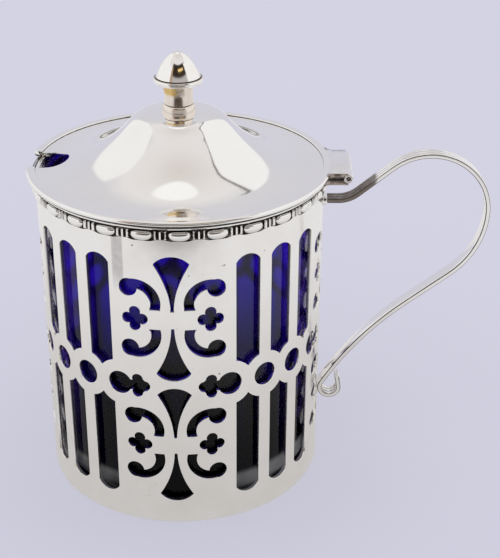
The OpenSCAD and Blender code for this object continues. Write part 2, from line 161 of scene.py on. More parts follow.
strap_t = 1.0
strap_corner = 0.18
reed_fullness = 0.9
reed_edge = 0.10
seam = 0.02
pad_t = 0.8
pad_w = 3.8
pad_h = 1.6
pad_edge = 0.18
pad_sunk = 0.05
stem_drop = 6.6
handle_reach = 33.5
rise_r = 6.0
ramp_back = 2.2
loop_r = 11.9
loop_drop = 8.8
heel_r = 17.8
run_l = 10.5
run_bow = 7.5
curl_r = 2.0
curl_z = 15.4
curl_tip = 100.0
tip_l = 2.4
tip_edge = 0.2
solder_turn = 34.0
solder_sunk = 0.1
solder_in = 0.25
solder_up = 0.35
solder_hollow_x = 0.16
solder_hollow_z = 0.15
solder_edge = 0.05
liner_r = 27.0
liner_wall = 2.0
liner_low = 0.95
liner_top = 64.2
liner_floor = 2.6
liner_heel = 6.0

# Derived heights of the openwork
fan_reach = (drum_h - low_band - top_band - fan_end_gap) / 4
fan_l = fan_reach - fan_crown - fan_tip_gap / 2
tier_pitch = 2 * fan_reach + fan_end_gap
tiers_z = low_band + fan_reach + tier_pitch / 2
slot_top = drum_h - top_band - slot_drop
roundel_z = tiers_z - roundel_drop
eighth = math.pi * drum_r / 4

# Derived heights of the finial
neck_low = finial_low + foot_h
neck_high = neck_low + neck_h


def deselect_all():
    if bpy.context.object and bpy.context.object.mode != "OBJECT":
        bpy.ops.object.mode_set(mode="OBJECT")
    bpy.ops.object.select_all(action="DESELECT")


def take_up(piece):
    deselect_all()
    piece.select_set(True)
    bpy.context.view_layer.objects.active = piece


def edit_all(piece):
    take_up(piece)
    bpy.ops.object.mode_set(mode="EDIT")
    bpy.ops.mesh.select_all(action="SELECT")


def leave_edit():
    bpy.ops.object.mode_set(mode="OBJECT")


def wire_piece(name, points, closed=False):
    """A bare line of points, ready to be spun or extruded."""
    mesh = bpy.data.meshes.new(name)
    edges = [(i, i + 1) for i in range(len(points) - 1)]
    if closed:
        edges.append((len(points) - 1, 0))
    mesh.from_pydata(points, edges, [])
    piece = bpy.data.objects.new(name, mesh)
    scene.collection.objects.link(piece)
    take_up(piece)
    return piece


def arc(centre, r, a, b, steps):
    """Points along an arc from angle a to angle b in degrees, both ends included."""
    return [(centre[0] + r * math.cos(math.radians(a + (b - a) * i / steps)),
             centre[1] + r * math.sin(math.radians(a + (b - a) * i / steps)))
            for i in range(steps + 1)]


def merge_and_face_out(piece, reach=0.002):
    edit_all(piece)
    bpy.ops.mesh.remove_doubles(threshold=reach)
    bpy.ops.mesh.normals_make_consistent(inside=False)
    leave_edit()


def apply_modifier(piece, kind, **settings):
    take_up(piece)
    modifier = piece.modifiers.new(kind.lower(), kind)
    for key, value in settings.items():
        setattr(modifier, key, value)
    bpy.ops.object.modifier_apply(modifier=modifier.name)


def soften(piece, width, segments):
    """Rounds a piece's sharp edges."""
    apply_modifier(piece, "BEVEL", width=width, segments=segments, limit_method="ANGLE",
                   angle_limit=math.radians(50))


def own_copy(piece, name):
    """A copy with its own mesh."""
    copy = piece.copy()
    copy.data = piece.data.copy()
    copy.name = name
    scene.collection.objects.link(copy)
    return copy


def fix_place(piece):
    """Puts a piece's place, turn and scale into its mesh."""
    take_up(piece)
    bpy.ops.object.transform_apply(location=True, rotation=True, scale=True)


def drawn_out(name, points, way):
    """A closed outline filled and drawn out along a way."""
    piece = wire_piece(name, points, True)
    edit_all(piece)
    bpy.ops.mesh.edge_face_add()
    bpy.ops.mesh.extrude_region_move(TRANSFORM_OT_translate={"value": way})
    bpy.ops.mesh.select_all(action="SELECT")
    bpy.ops.mesh.normals_make_consistent(inside=False)
    leave_edit()
    return piece


def turned(name, outline, steps, closed=False):
    """A turned piece: a half outline of (radius, height) spun round the upright axis."""
    piece = wire_piece(name, [(r, 0, z) for r, z in outline], closed)
    edit_all(piece)
    bpy.ops.mesh.spin(steps=steps, angle=2 * math.pi, center=(0, 0, 0), axis=(0, 0, 1))
    leave_edit()
    merge_and_face_out(piece)
    return piece


def join(pieces, name):
    deselect_all()
    for piece in pieces:
        piece.select_set(True)
    bpy.context.view_layer.objects.active = pieces[0]
    bpy.ops.object.join()
    pieces[0].name = name
    return pieces[0]


def finish_piece(piece, body, stands_for, finish, crease=35):
    piece.scale = (MM, MM, MM)
    fix_place(piece)
    bpy.ops.object.shade_smooth_by_angle(angle=math.radians(crease))
    piece.data.materials.clear()
    piece.data.materials.append(finish)
    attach(piece, body)
    if stands_for:
        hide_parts(*stands_for)


# Finishes


def shader_graph(name):
    finish = bpy.data.materials.new(name)
    finish.use_nodes = True
    tree = finish.node_tree
    return finish, tree, tree.nodes["Principled BSDF"]


def add_node(tree, kind, **settings):
    node = tree.nodes.new(kind)
    for key, value in settings.items():
        setattr(node, key, value)
    return node


def feed(tree, socket, value):
    """Gives a socket a plain number, a plain colour or what another socket puts out."""
    if isinstance(value, (int, float)):
        socket.default_value = value
    elif isinstance(value, tuple):
        socket.default_value = (*value, 1)
    else:
        tree.links.new(value, socket)


def calc(tree, operation, a, b=0.0, c=0.0, clamp=False):
    """One sum on numbers or sockets; gives the socket with its result."""
    node = add_node(tree, "ShaderNodeMath", operation=operation, use_clamp=clamp)
    for socket, value in zip(node.inputs, (a, b, c)):
        feed(tree, socket, value)
    return node.outputs[0]


def all_of(tree, *masks):
    """Masks multiplied together."""
    whole = masks[0]
    for mask in masks[1:]:
        whole = calc(tree, "MULTIPLY", whole, mask)
    return whole


def soft_step(tree, value, low, high, ease="SMOOTHSTEP"):
    """0 at low and 1 at high, eased between them; low may lie above high."""
    step = add_node(tree, "ShaderNodeMapRange", interpolation_type=ease)
    for label, number in (("Value", value), ("From Min", low), ("From Max", high)):
        feed(tree, step.inputs[label], number)
    return step.outputs["Result"]


def blend(tree, mask, under, over):
    """One colour laid over another where a mask asks for it."""
    mix = add_node(tree, "ShaderNodeMix", data_type="RGBA")
    for label, value in (("Factor", mask), ("A", under), ("B", over)):
        feed(tree, mix.inputs[label], value)
    return mix.outputs["Result"]


def own_place(tree):
    """A piece's own coordinates."""
    return add_node(tree, "ShaderNodeTexCoord").outputs["Object"]


def noise(tree, scale, detail=2.0, roughness=0.5, place=None):
    """A soft random pattern on a piece's own coordinates, or on others made from them."""
    node = add_node(tree, "ShaderNodeTexNoise")
    for label, value in (("Scale", scale), ("Detail", detail), ("Roughness", roughness)):
        node.inputs[label].default_value = value
    tree.links.new(place or own_place(tree), node.inputs["Vector"])
    return node.outputs["Fac"]


def bumped(tree, shader, height, depth):
    """Lays a height pattern, so many metres deep, on a finish."""
    bump = add_node(tree, "ShaderNodeBump")
    bump.inputs["Strength"].default_value = 1
    bump.inputs["Distance"].default_value = depth
    tree.links.new(height, bump.inputs["Height"])
    tree.links.new(bump.outputs["Normal"], shader.inputs["Normal"])


def new_group(name, colours_in, values_in, values_out):
    """A node group that takes named colours and values, and puts out a colour and named values."""
    group = bpy.data.node_groups.new(name, "ShaderNodeTree")
    for way, kind, labels in (("INPUT", "NodeSocketColor", colours_in),
                              ("INPUT", "NodeSocketFloat", values_in),
                              ("OUTPUT", "NodeSocketColor", ["Color"]),
                              ("OUTPUT", "NodeSocketFloat", values_out)):
        for label in labels:
            group.interface.new_socket(label, in_out=way, socket_type=kind)
    return group, add_node(group, "NodeGroupInput").outputs, add_node(group, "NodeGroupOutput").inputs


def silver_wear_group():
    """Soft polishing marks, fine scratches and a thin film of tarnish, shared by all the silver."""
    group, put, out = new_group("silver_wear", ["Bright", "Tarnish"], ["Film", "Polish", "Blur", "Scratches"],
                                ["Roughness", "Height"])
    film = soft_step(group, noise(group, 110, 5, 0.6), 0.42, 0.78, "LINEAR")
    film = calc(group, "MULTIPLY", film, put["Film"], clamp=True)
    feed(group, out["Color"], blend(group, film, put["Bright"], put["Tarnish"]))

    smear = calc(group, "MULTIPLY_ADD", noise(group, 420, 4), put["Blur"], put["Polish"])
    feed(group, out["Roughness"], calc(group, "MULTIPLY_ADD", film, 0.16, smear))

    leaning = add_node(group, "ShaderNodeMapping")
    leaning.inputs["Rotation"].default_value = (0.35, 0.2, 0.5)
    leaning.inputs["Scale"].default_value = (5200, 5200, 260)
    feed(group, leaning.inputs["Vector"], own_place(group))
    scratch = soft_step(group, noise(group, 1, place=leaning.outputs["Vector"]), 0.60, 0.72, "LINEAR")
    scratch = calc(group, "MULTIPLY", scratch, put["Scratches"])
    planish = noise(group, 150, 1)
    feed(group, out["Height"], calc(group, "MULTIPLY_ADD", scratch, -0.02, planish))
    return group


def stain_and_shade_group():
    """A dark colour laid over a finish where a mask asks for it, with an uneven edge: tarnish in some places,
    painted shade in others.
    """
    group, put, out = new_group("stain_and_shade", ["Color", "Stain_and_shade"], ["Roughness", "Mask"], ["Roughness"])
    patchy = calc(group, "MULTIPLY_ADD", noise(group, 900, 3), 0.9, 0.55)
    mask = calc(group, "MULTIPLY", put["Mask"], patchy, clamp=True)
    feed(group, out["Color"], blend(group, mask, put["Color"], put["Stain_and_shade"]))
    feed(group, out["Roughness"], calc(group, "MULTIPLY_ADD", mask, 0.22, put["Roughness"]))
    return group


silver_wear = silver_wear_group()
stain_and_shade_over = stain_and_shade_group()


def place_parts(tree):
    """The X, Y and Z of a place on a piece, and its distance from the pot's upright axis, in metres."""
    split = add_node(tree, "ShaderNodeSeparateXYZ")
    tree.links.new(own_place(tree), split.inputs["Vector"])
    x, y, z = split.outputs
    r = calc(tree, "SQRT", calc(tree, "ADD", calc(tree, "MULTIPLY", x, x), calc(tree, "MULTIPLY", y, y)))
    return x, y, z, r


def own_attribute(tree, name):
    return add_node(tree, "ShaderNodeAttribute", attribute_name=name).outputs["Fac"]


def in_recess(tree):
    """The sunk ground of the border."""
    return soft_step(tree, own_attribute(tree, "recess"), 0.30, 0.85)


def reed_lines_and_edge_shade(tree):
    """The lines between the strap's reeds, which carry tarnish, and painted shade along the corners of its
    inner face.
    """
    return soft_step(tree, own_attribute(tree, "groove_and_edge_shade"), 0.08, 0.60)


def stem_reflection_dark(tree):
    """Painted reflection: the strap's stem under the hinge, darkened to stand for the dark things it mirrors.
    """
    x, _, z, _ = place_parts(tree)
    return all_of(tree, soft_step(tree, x, 0.0393, 0.0384), soft_step(tree, z, 0.045, 0.050))


def near_height(tree, z, height, far, near):
    """1 within a distance of a height, 0 beyond a farther one."""
    return soft_step(tree, calc(tree, "ABSOLUTE", calc(tree, "SUBTRACT", z, height * MM)), far, near)


def in_finial_lines(tree):
    """The turned lines between foot and neck and between flange and knop."""
    z = place_parts(tree)[2]
    lines = [near_height(tree, z, height, 0.00016, 0.00005)
             for height in (neck_low, neck_high + flange_t - 0.1)]
    return calc(tree, "ADD", *lines, clamp=True)


def on_neck(tree):
    """The finial's neck and foot, which keep a warm film."""
    z = place_parts(tree)[2]
    return calc(tree, "MULTIPLY", soft_step(tree, z, (neck_high + 0.1) * MM, (neck_high - 0.4) * MM), 0.6)


def under_flange(tree):
    """A patch of gold tarnish on the neck's upper left."""
    x, _, z, _ = place_parts(tree)
    return all_of(tree, soft_step(tree, z, (neck_high - 2.3) * MM, (neck_high - 1.6) * MM),
                  soft_step(tree, z, (neck_high - 0.1) * MM, (neck_high - 0.5) * MM),
                  soft_step(tree, x, 0.0006, -0.0010))


def hinge_end_shade(tree):
    """Painted shade on the flat ends of the hinge's leaves."""
    out = calc(tree, "ABSOLUTE", place_parts(tree)[1])
    half = hinge_w / 2
    return calc(tree, "MULTIPLY", soft_step(tree, out, (half - 0.14) * MM, (half - 0.06) * MM), 0.8)


def shade_between_hinge_leaves(tree):
    """Painted shade: the line between the two leaves, seen at the hinge's ends."""
    return all_of(tree, hinge_end_shade(tree), lid_seam_shade(tree))


def inside_rim(tree):
    """The rim wire's inner wall, where it meets the lid's sheet."""
    z, r = place_parts(tree)[2:]
    wall = lid_r - rim_w
    return all_of(tree, soft_step(tree, r, (wall + 0.20) * MM, (wall + 0.06) * MM),
                  soft_step(tree, z, (lid_low + 0.98) * MM, (lid_low + 0.88) * MM))


def lid_seam_shade(tree):
    """Painted shade: a dark line where the lid's edge meets the border."""
    z, r = place_parts(tree)[2:]
    return all_of(tree, near_height(tree, z, lid_low, 0.00044, 0.00030),
                  soft_step(tree, r, (drum_r + 0.25) * MM, (drum_r + 0.6) * MM))


def small_specks(tree):
    """Pits in the drum's plain metal."""
    return soft_step(tree, noise(tree, 760, 1), 0.775, 0.83)


def upright_smear(tree):
    """A grey smear down the drum's front left, from the border to the openwork."""
    x, y, z, _ = place_parts(tree)
    turn = calc(tree, "ARCTAN2", x, calc(tree, "MULTIPLY", y, -1))
    off = calc(tree, "ABSOLUTE", calc(tree, "ADD", turn, math.radians(20.4)))
    return all_of(tree, soft_step(tree, off, 0.046, 0.030), soft_step(tree, z, 0.0505, 0.0560), 0.55)


def silver(name, bright, tarnish, film, polish, blur, scratches, wave, stains_and_shade=()):
    """Polished silver with its stains and painted shade; wave is the height in metres of its slow unevenness.
    """
    finish, tree, shader = shader_graph(name)
    wear = add_node(tree, "ShaderNodeGroup", node_tree=silver_wear)
    for label, value in (("Bright", bright), ("Tarnish", tarnish), ("Film", film), ("Polish", polish),
                         ("Blur", blur), ("Scratches", scratches)):
        feed(tree, wear.inputs[label], value)
    colour, roughness = wear.outputs["Color"], wear.outputs["Roughness"]
    for mask_of, stain_and_shade in stains_and_shade:
        laid = add_node(tree, "ShaderNodeGroup", node_tree=stain_and_shade_over)
        for label, value in (("Color", colour), ("Roughness", roughness), ("Mask", mask_of(tree)),
                             ("Stain_and_shade", stain_and_shade)):
            feed(tree, laid.inputs[label], value)
        colour, roughness = laid.outputs["Color"], laid.outputs["Roughness"]
    for label, value in (("Base Color", colour), ("Roughness", roughness), ("Metallic", 1)):
        feed(tree, shader.inputs[label], value)
    bumped(tree, shader, wear.outputs["Height"], wave)
    return finish


bright_silver = (0.95, 0.94, 0.925)
worn_silver = (0.92, 0.91, 0.90)
tube_silver = (0.94, 0.93, 0.92)
warm_silver = (0.97, 0.955, 0.935)
plain_silver = (0.90, 0.89, 0.87)
dull_silver = (0.30, 0.28, 0.26)
brown_tarnish = (0.55, 0.47, 0.38)
tan_tarnish = (0.62, 0.47, 0.30)
pin_tarnish = (0.10, 0.08, 0.06)
# Black: tarnish on the border's sunk ground, and painted shade along the lid's seam and between the hinge
# leaves.
black_tarnish_and_shade = (0.020, 0.016, 0.012)
# Umber: tarnish at the rim's inner joint and in the reed lines, and painted shade along the strap's inner
# corners.
umber_tarnish_and_shade = (0.10, 0.085, 0.07)
pit_brown = (0.30, 0.26, 0.22)
smear_grey = (0.45, 0.44, 0.44)
hinge_end_shade_brown = (0.32, 0.25, 0.21)
neck_film = (0.84, 0.72, 0.60)
neck_gold = (0.86, 0.62, 0.24)
line_brown = (0.30, 0.25, 0.21)
stem_reflection_brown = (0.25, 0.22, 0.20)

drum_silver = silver("drum_silver", bright_silver, brown_tarnish, film=0.14, polish=0.10, blur=0.08,
                     scratches=0.6, wave=0.00005,
                     stains_and_shade=[(small_specks, pit_brown), (upright_smear, smear_grey)])
# Painted shade darkens the border's top under the lid's edge.
border_silver = silver("border_silver", bright_silver, brown_tarnish, film=0.10, polish=0.07, blur=0.05,
                       scratches=0.4, wave=0.00002,
                       stains_and_shade=[(in_recess, black_tarnish_and_shade), (lid_seam_shade, black_tarnish_and_shade)])
lid_silver = silver("lid_silver", bright_silver, brown_tarnish, film=0.06, polish=0.04, blur=0.05,
                    scratches=0.5, wave=0.00003)
# Painted shade darkens the rim's lower edge where it meets the border.
rim_silver = silver("rim_silver", bright_silver, brown_tarnish, film=0.08, polish=0.07, blur=0.05,
                    scratches=0.4, wave=0.00002,
                    stains_and_shade=[(inside_rim, umber_tarnish_and_shade), (lid_seam_shade, black_tarnish_and_shade)])
# The ends of the hinge leaves and the line between them are painted shade.
hinge_silver = silver("hinge_silver", worn_silver, brown_tarnish, film=0.15, polish=0.10, blur=0.06,
                      scratches=0.5, wave=0.00003,
                      stains_and_shade=[(hinge_end_shade, hinge_end_shade_brown), (shade_between_hinge_leaves, black_tarnish_and_shade)])
knuckle_silver = silver("knuckle_silver", tube_silver, brown_tarnish, film=0.12, polish=0.10, blur=0.06,
                        scratches=0.5, wave=0.00003)
finial_silver = silver("finial_silver", warm_silver, tan_tarnish, film=0.16, polish=0.06, blur=0.05,
                       scratches=0.4, wave=0.00002,
                       stains_and_shade=[(on_neck, neck_film), (under_flange, neck_gold),
                               (in_finial_lines, line_brown)])
# The stem's dark is a painted reflection; the reed lines carry tarnish, with painted shade along the inner
# corners.
handle_silver = silver("handle_silver", worn_silver, brown_tarnish, film=0.20, polish=0.10, blur=0.06,
                       scratches=0.5, wave=0.00003,
                       stains_and_shade=[(stem_reflection_dark, stem_reflection_brown), (reed_lines_and_edge_shade, umber_tarnish_and_shade)])
pin_silver = silver("pin_silver", dull_silver, pin_tarnish, film=0.8, polish=0.25, blur=0.10,
                    scratches=0.5, wave=0.00003)
base_silver = silver("base_silver", plain_silver, brown_tarnish, film=0.35, polish=0.16, blur=0.10,
                     scratches=0.9, wave=0.00006)


def cobalt_glass_finish():
    """Blue glass, painted darker towards its foot as shade, with a painted sheen on its upper right and a
    painted grey glow in its heel for a reflection.
    """
    finish, tree, shader = shader_graph("cobalt_glass")
    deep_blue, bright_blue, painted_heel_glow = (0.008, 0.006, 0.05), (0.16, 0.07, 0.78), (0.10, 0.10, 0.105)
    x, y, z, r = place_parts(tree)
    streak = noise(tree, 60, 3)
    # Painted shade: the glass's colour darkens towards its foot.
    height = soft_step(tree, z, 0.004, 0.052)
    # Painted sheen: more coat towards the upper right.
    lit_side = calc(tree, "MULTIPLY_ADD", soft_step(tree, x, -0.012, 0.014), 0.45, 0.25)
    slot_side = calc(tree, "DIVIDE", calc(tree, "MULTIPLY", x, y), calc(tree, "MULTIPLY", r, r))
    behind_slots = soft_step(tree, calc(tree, "ABSOLUTE", slot_side), 0.30, 0.40)
    # Painted reflection: a grey glow in the heel behind the slots.
    heel = all_of(tree, soft_step(tree, z, 0.0098, 0.0080), soft_step(tree, z, 0.0045, 0.0062),
                  soft_step(tree, r, 0.0255, 0.0262), behind_slots, soft_step(tree, streak, 0.30, 0.62))
    for label, value in (("Base Color", blend(tree, height, deep_blue, bright_blue)), ("Roughness", 0.14),
                         ("IOR", 1.2), ("Transmission Weight", 1),
                         ("Coat Weight", calc(tree, "MULTIPLY_ADD", height, lit_side, 0.01)),
                         ("Coat Roughness", 0.03), ("Emission Strength", 1),
                         ("Emission Color", blend(tree, heel, (0, 0, 0), painted_heel_glow))):
        feed(tree, shader.inputs[label], value)
    bumped(tree, shader, streak, 0.00008)
    return finish


cobalt_glass = cobalt_glass_finish()


# The pierced drum


def half_fan(z, up):
    """The right half of a fan's outline, from its tip to its round end, both on the middle line."""
    half = ((fan_w - fan_tip_w) / 4, fan_l / 2)
    length = math.hypot(*half)
    set_back = math.sqrt(fan_side_r ** 2 - length ** 2)
    side_c = (fan_tip_w / 2 + half[0] + half[1] / length * set_back, half[1] - half[0] / length * set_back)
    start = math.degrees(math.atan2(-side_c[1], fan_tip_w / 2 - side_c[0]))
    end = math.degrees(math.atan2(fan_l - side_c[1], fan_w / 2 - side_c[0]))
    if start < 0:
        start += 360
    if end < 0:
        end += 360
    end_r = (fan_w ** 2 / 4 + fan_crown ** 2) / (2 * fan_crown)
    corner = math.degrees(math.acos(fan_w / 2 / end_r))
    points = [(0, 0)] + arc(side_c, fan_side_r, start, end, 14)
    points += arc((0, fan_l + fan_crown - end_r), end_r, corner, 90, 8)[1:]
    return [(u, z + up * (fan_tip_gap / 2 + v)) for u, v in points]


def scroll(z, up):
    """A scroll: a foot, an arm round most of a circle and a ball at its end."""
    outer, inner, ball_r = scroll_r + scroll_w / 2, scroll_r - scroll_w / 2, ball_d / 2
    ball_turn = 180 - ball_angle
    ball_out = outer - ball_r + ball_swell
    ball_c = (ball_out * math.cos(math.radians(ball_turn)), ball_out * math.sin(math.radians(ball_turn)))
    foot = scroll_foot - scroll_z

    def meets(r):
        return math.degrees(math.acos((ball_out ** 2 + r * r - ball_r ** 2) / (2 * ball_out * r)))

    outer_end = ball_turn + meets(outer)
    inner_end = ball_turn + meets(inner)
    outer_foot = 180 + math.degrees(math.asin(-foot / outer))
    inner_foot = 180 + math.degrees(math.asin(-foot / inner))
    arm = arc((0, 0), outer, outer_foot, outer_end, 18)
    back = arc((0, 0), inner, inner_end, inner_foot, 14)
    a = math.degrees(math.atan2(arm[-1][1] - ball_c[1], arm[-1][0] - ball_c[0]))
    b = math.degrees(math.atan2(back[0][1] - ball_c[1], back[0][0] - ball_c[0]))
    while b > a:
        b -= 360
    outline = arm + arc(ball_c, ball_r, a, b, 18)[1:-1] + back
    return [(scroll_x + u, z + up * (scroll_z + v)) for u, v in outline]


def lobe_turn():
    corner = (lobe_out + math.sqrt(2 * lobe_r ** 2 - lobe_out ** 2)) / 2
    return math.degrees(math.atan2(corner, corner - lobe_out))


def quatrefoil(z):
    half = lobe_turn()
    outline = []
    for turn in (0, 90, 180, 270):
        c = (quatrefoil_x + lobe_out * math.cos(math.radians(turn)),
             z + lobe_out * math.sin(math.radians(turn)))
        outline += arc(c, lobe_r, turn - half, turn + half, 9)[:-1]
    return outline


def quatrefoil_with_roundel(z, roundel_u):
    """The quatrefoil of the middle row, open into the first roundel beside it."""
    half = lobe_turn()
    lobe_u = quatrefoil_x + lobe_out
    gap = roundel_u - lobe_u
    lobe_meet = math.degrees(math.acos((gap ** 2 + lobe_r ** 2 - roundel_r ** 2) / (2 * gap * lobe_r)))
    roundel_meet = math.degrees(math.acos((gap ** 2 + roundel_r ** 2 - lobe_r ** 2) / (2 * gap * roundel_r)))
    outline = arc((lobe_u, z), lobe_r, -half, -lobe_meet, 2)[:-1]
    outline += arc((roundel_u, z), roundel_r, roundel_meet - 180, 180 - roundel_meet, 26)
    outline += arc((lobe_u, z), lobe_r, lobe_meet, half, 2)[1:]
    for turn in (90, 180, 270):
        c = (quatrefoil_x + lobe_out * math.cos(math.radians(turn)),
             z + lobe_out * math.sin(math.radians(turn)))
        outline += arc(c, lobe_r, turn - half, turn + half, 9)[1:-1]
    return outline


def half_slot(u, side, up):
    """Half of a slot's outline from its round end to its pointed end, on one side of its middle line."""
    ring_r = roundel_r + ring_w
    step_u = drum_r * math.radians(slot_step / 2)
    end_c = slot_top - slot_end_r if up > 0 else low_band + slot_end_r
    side_turn = math.degrees(math.acos(slot_w / 2 / slot_end_r))
    points = [(x, up * y) for x, y in arc((0, 0), slot_end_r, 90, side_turn, 7)]
    points = [(u + side * x, end_c + y) for x, y in points]
    low = math.degrees(math.acos((step_u - slot_w / 2) / ring_r))
    tip = math.degrees(math.acos(step_u / ring_r))
    ring = arc((0, 0), ring_r, 180 - low, 180 - tip, 7)
    points += [(u + side * (step_u + x), roundel_z + up * y) for x, y in ring]
    return points


def slot(u, up):
    right = half_slot(u, 1, up)
    left = half_slot(u, -1, up)
    return right + left[::-1][1:-1]


def mitre(before, after):
    """The way square to a bend between two directions, long enough to keep both its sides at one distance."""
    sharpest = 0.4
    way = (before + after).normalized()
    return way / max(way.dot(before), sharpest)


def grown(outline):
    """A closed outline moved out into the metal all round, by the rounding of the cut edges."""
    ends = [Vector(point) for point in outline]
    steps = [(b - a).normalized() for a, b in zip(ends, ends[1:] + ends[:1])]
    turn = sum(a.cross(b) for a, b in zip(ends, ends[1:] + ends[:1]))
    out = [Vector((step.y, -step.x)) * math.copysign(1, turn) for step in steps]
    return [tuple(end + edge_round * mitre(before, after))
            for end, before, after in zip(ends, out[-1:] + out[:-1], out)]


def grown_half_fan(z, up):
    right = half_fan(z, up)
    whole = grown(right + [(-u, v) for u, v in right[-2:0:-1]])[:len(right)]
    return [(0, whole[0][1])] + whole[1:-1] + [(0, whole[-1][1])]


def grown_left_slot(u, up):
    right = half_slot(u, 1, up)
    whole = grown(slot(u, up))[:len(right)]
    return [(u, whole[0][1])] + [(2 * u - x, v) for x, v in whole[1:-1]] + [(u, whole[-1][1])]


def sheet_eighth(name, top_fan):
    """An eighth of the drum's sheet, flat, from the middle of a panel to the middle of a group of slots."""
    edge = [(0, edge_round)]
    low_tier, top_tier = tiers_z - tier_pitch / 2, tiers_z + tier_pitch / 2
    edge += grown_half_fan(low_tier, -1)[::-1]
    edge += grown_half_fan(low_tier, 1)
    edge += grown_half_fan(top_tier, -1)[::-1]
    if top_fan:
        edge += grown_half_fan(top_tier, 1)
    edge += [(0, drum_h - edge_round), (eighth, drum_h - edge_round)]
    edge += grown_left_slot(eighth, 1)
    edge += grown_left_slot(eighth, -1)[::-1]
    edge += [(eighth, edge_round)]
    first_roundel = drum_r * math.radians(45 - 1.5 * slot_step)
    second_roundel = drum_r * math.radians(45 - 0.5 * slot_step)
    side_slot = drum_r * math.radians(45 - slot_step)
    holes = [scroll(z, up) for z in (low_tier, top_tier) for up in (-1, 1)]
    holes += [quatrefoil(low_tier), quatrefoil(top_tier)]
    holes += [quatrefoil_with_roundel(roundel_z, first_roundel)]
    holes += [slot(side_slot, 1), slot(side_slot, -1)]
    holes += [arc((second_roundel, roundel_z), roundel_r, 0, 360, 36)[:-1]]
    flat = bpy.data.curves.new(name, "CURVE")
    flat.dimensions = "2D"
    flat.fill_mode = "BOTH"
    for outline in [edge] + [grown(hole) for hole in holes]:
        line = flat.splines.new("POLY")
        line.points.add(len(outline) - 1)
        for point, (u, v) in zip(line.points, outline):
            point.co = (u, v, 0, 1)
        line.use_cyclic_u = True
    piece = bpy.data.objects.new(name, flat)
    scene.collection.objects.link(piece)
    take_up(piece)
    bpy.ops.object.convert(target="MESH")
    piece = bpy.context.object
    edit_all(piece)
    bpy.ops.mesh.remove_doubles(threshold=0.001)
    columns = 24
    for i in range(1, columns):
        bpy.ops.mesh.select_all(action="SELECT")
        bpy.ops.mesh.bisect(plane_co=(eighth * i / columns, 0, 0), plane_no=(1, 0, 0), threshold=0.0005)
    leave_edit()
    for v in piece.data.vertices:
        turn = v.co.x / drum_r
        v.co = (drum_r * math.cos(turn), drum_r * math.sin(turn), v.co.y)
    return piece


def quarter_turned(piece, quarter):
    """A copy of a rolled quarter with its own mesh, turned to its place round the drum."""
    copy = own_copy(piece, "drum_quarter")
    copy.rotation_euler = (0, 0, quarter * math.pi / 2)
    fix_place(copy)
    return copy


def mark_cut_edges(sheet):
    """Gives each point of the rolled sheet its home, and each on a cut edge its way into the opening."""
    mesh = sheet.data
    home = mesh.attributes.new("home", "FLOAT_VECTOR", "POINT")
    into = mesh.attributes.new("into", "FLOAT_VECTOR", "POINT")
    for v in mesh.vertices:
        home.data[v.index].vector = v.co
    uses = {}
    for face in mesh.polygons:
        ring = list(face.vertices)
        for a, b in zip(ring, ring[1:] + ring[:1]):
            uses.setdefault((min(a, b), max(a, b)), []).append((a, b))
    sides = {}
    for way in uses.values():
        if len(way) == 1:
            a, b = (mesh.vertices[i].co for i in way[0])
            middle = (a + b) / 2
            side = (b - a).cross(Vector((middle.x, middle.y, 0))).normalized()
            for i in way[0]:
                sides.setdefault(i, []).append(side)
    for i, (before, after) in sides.items():
        into.data[i].vector = mitre(before, after)


def turn_over_cut_edges(sheet):
    """Draws every cut edge round and down through the sheet's thickness, ring by ring."""
    turn = math.sqrt(0.5)
    near, level = edge_round * turn, edge_round * (1 - turn)
    take_up(sheet)
    bpy.ops.object.mode_set(mode="EDIT")
    bpy.ops.mesh.select_mode(type="EDGE")
    bpy.ops.mesh.select_all(action="DESELECT")
    bpy.ops.mesh.select_non_manifold()
    for out, depth in ((near, level), (edge_round, edge_round), (edge_round, drum_wall - edge_round),
                       (near, drum_wall - level), (0, drum_wall)):
        bpy.ops.mesh.extrude_edges_move(TRANSFORM_OT_translate={"value": (0, 0, 0)})
        leave_edit()
        mesh = sheet.data
        home, into = mesh.attributes["home"].data, mesh.attributes["into"].data
        for v in mesh.vertices:
            if v.select:
                place = home[v.index].vector + into[v.index].vector * out
                share = (drum_r - depth) / drum_r
                v.co = (place.x * share, place.y * share, place.z)
        bpy.ops.object.mode_set(mode="EDIT")
    bpy.ops.mesh.select_mode(type="VERT")
    leave_edit()


def make_drum():
    plain = sheet_eighth("drum_panel", True)
    by_handle = sheet_eighth("drum_handle_panel", False)
    for piece in (plain, by_handle):
        apply_modifier(piece, "MIRROR", use_axis=(False, True, False), use_mirror_merge=True,
                       merge_threshold=0.002)
    quarters = [quarter_turned(plain, i) for i in (1, 2, 3)] + [by_handle]
    bpy.data.objects.remove(plain)
    drum = join(quarters, "drum")
    edit_all(drum)
    bpy.ops.mesh.remove_doubles(threshold=0.003)
    bpy.ops.mesh.normals_make_consistent(inside=False)
    leave_edit()
    first = drum.data.polygons[0]
    if first.normal.dot(Vector((first.center.x, first.center.y, 0))) < 0:
        edit_all(drum)
        bpy.ops.mesh.flip_normals()
        leave_edit()
    mark_cut_edges(drum)
    inside = own_copy(drum, "drum_inside")
    share = (drum_r - drum_wall) / drum_r
    inside.scale = (share, share, 1)
    fix_place(inside)
    turn_over_cut_edges(drum)
    drum = join([drum, inside], "drum")
    for name in ("home", "into"):
        drum.data.attributes.remove(drum.data.attributes[name])
    merge_and_face_out(drum, 0.0005)
    return drum


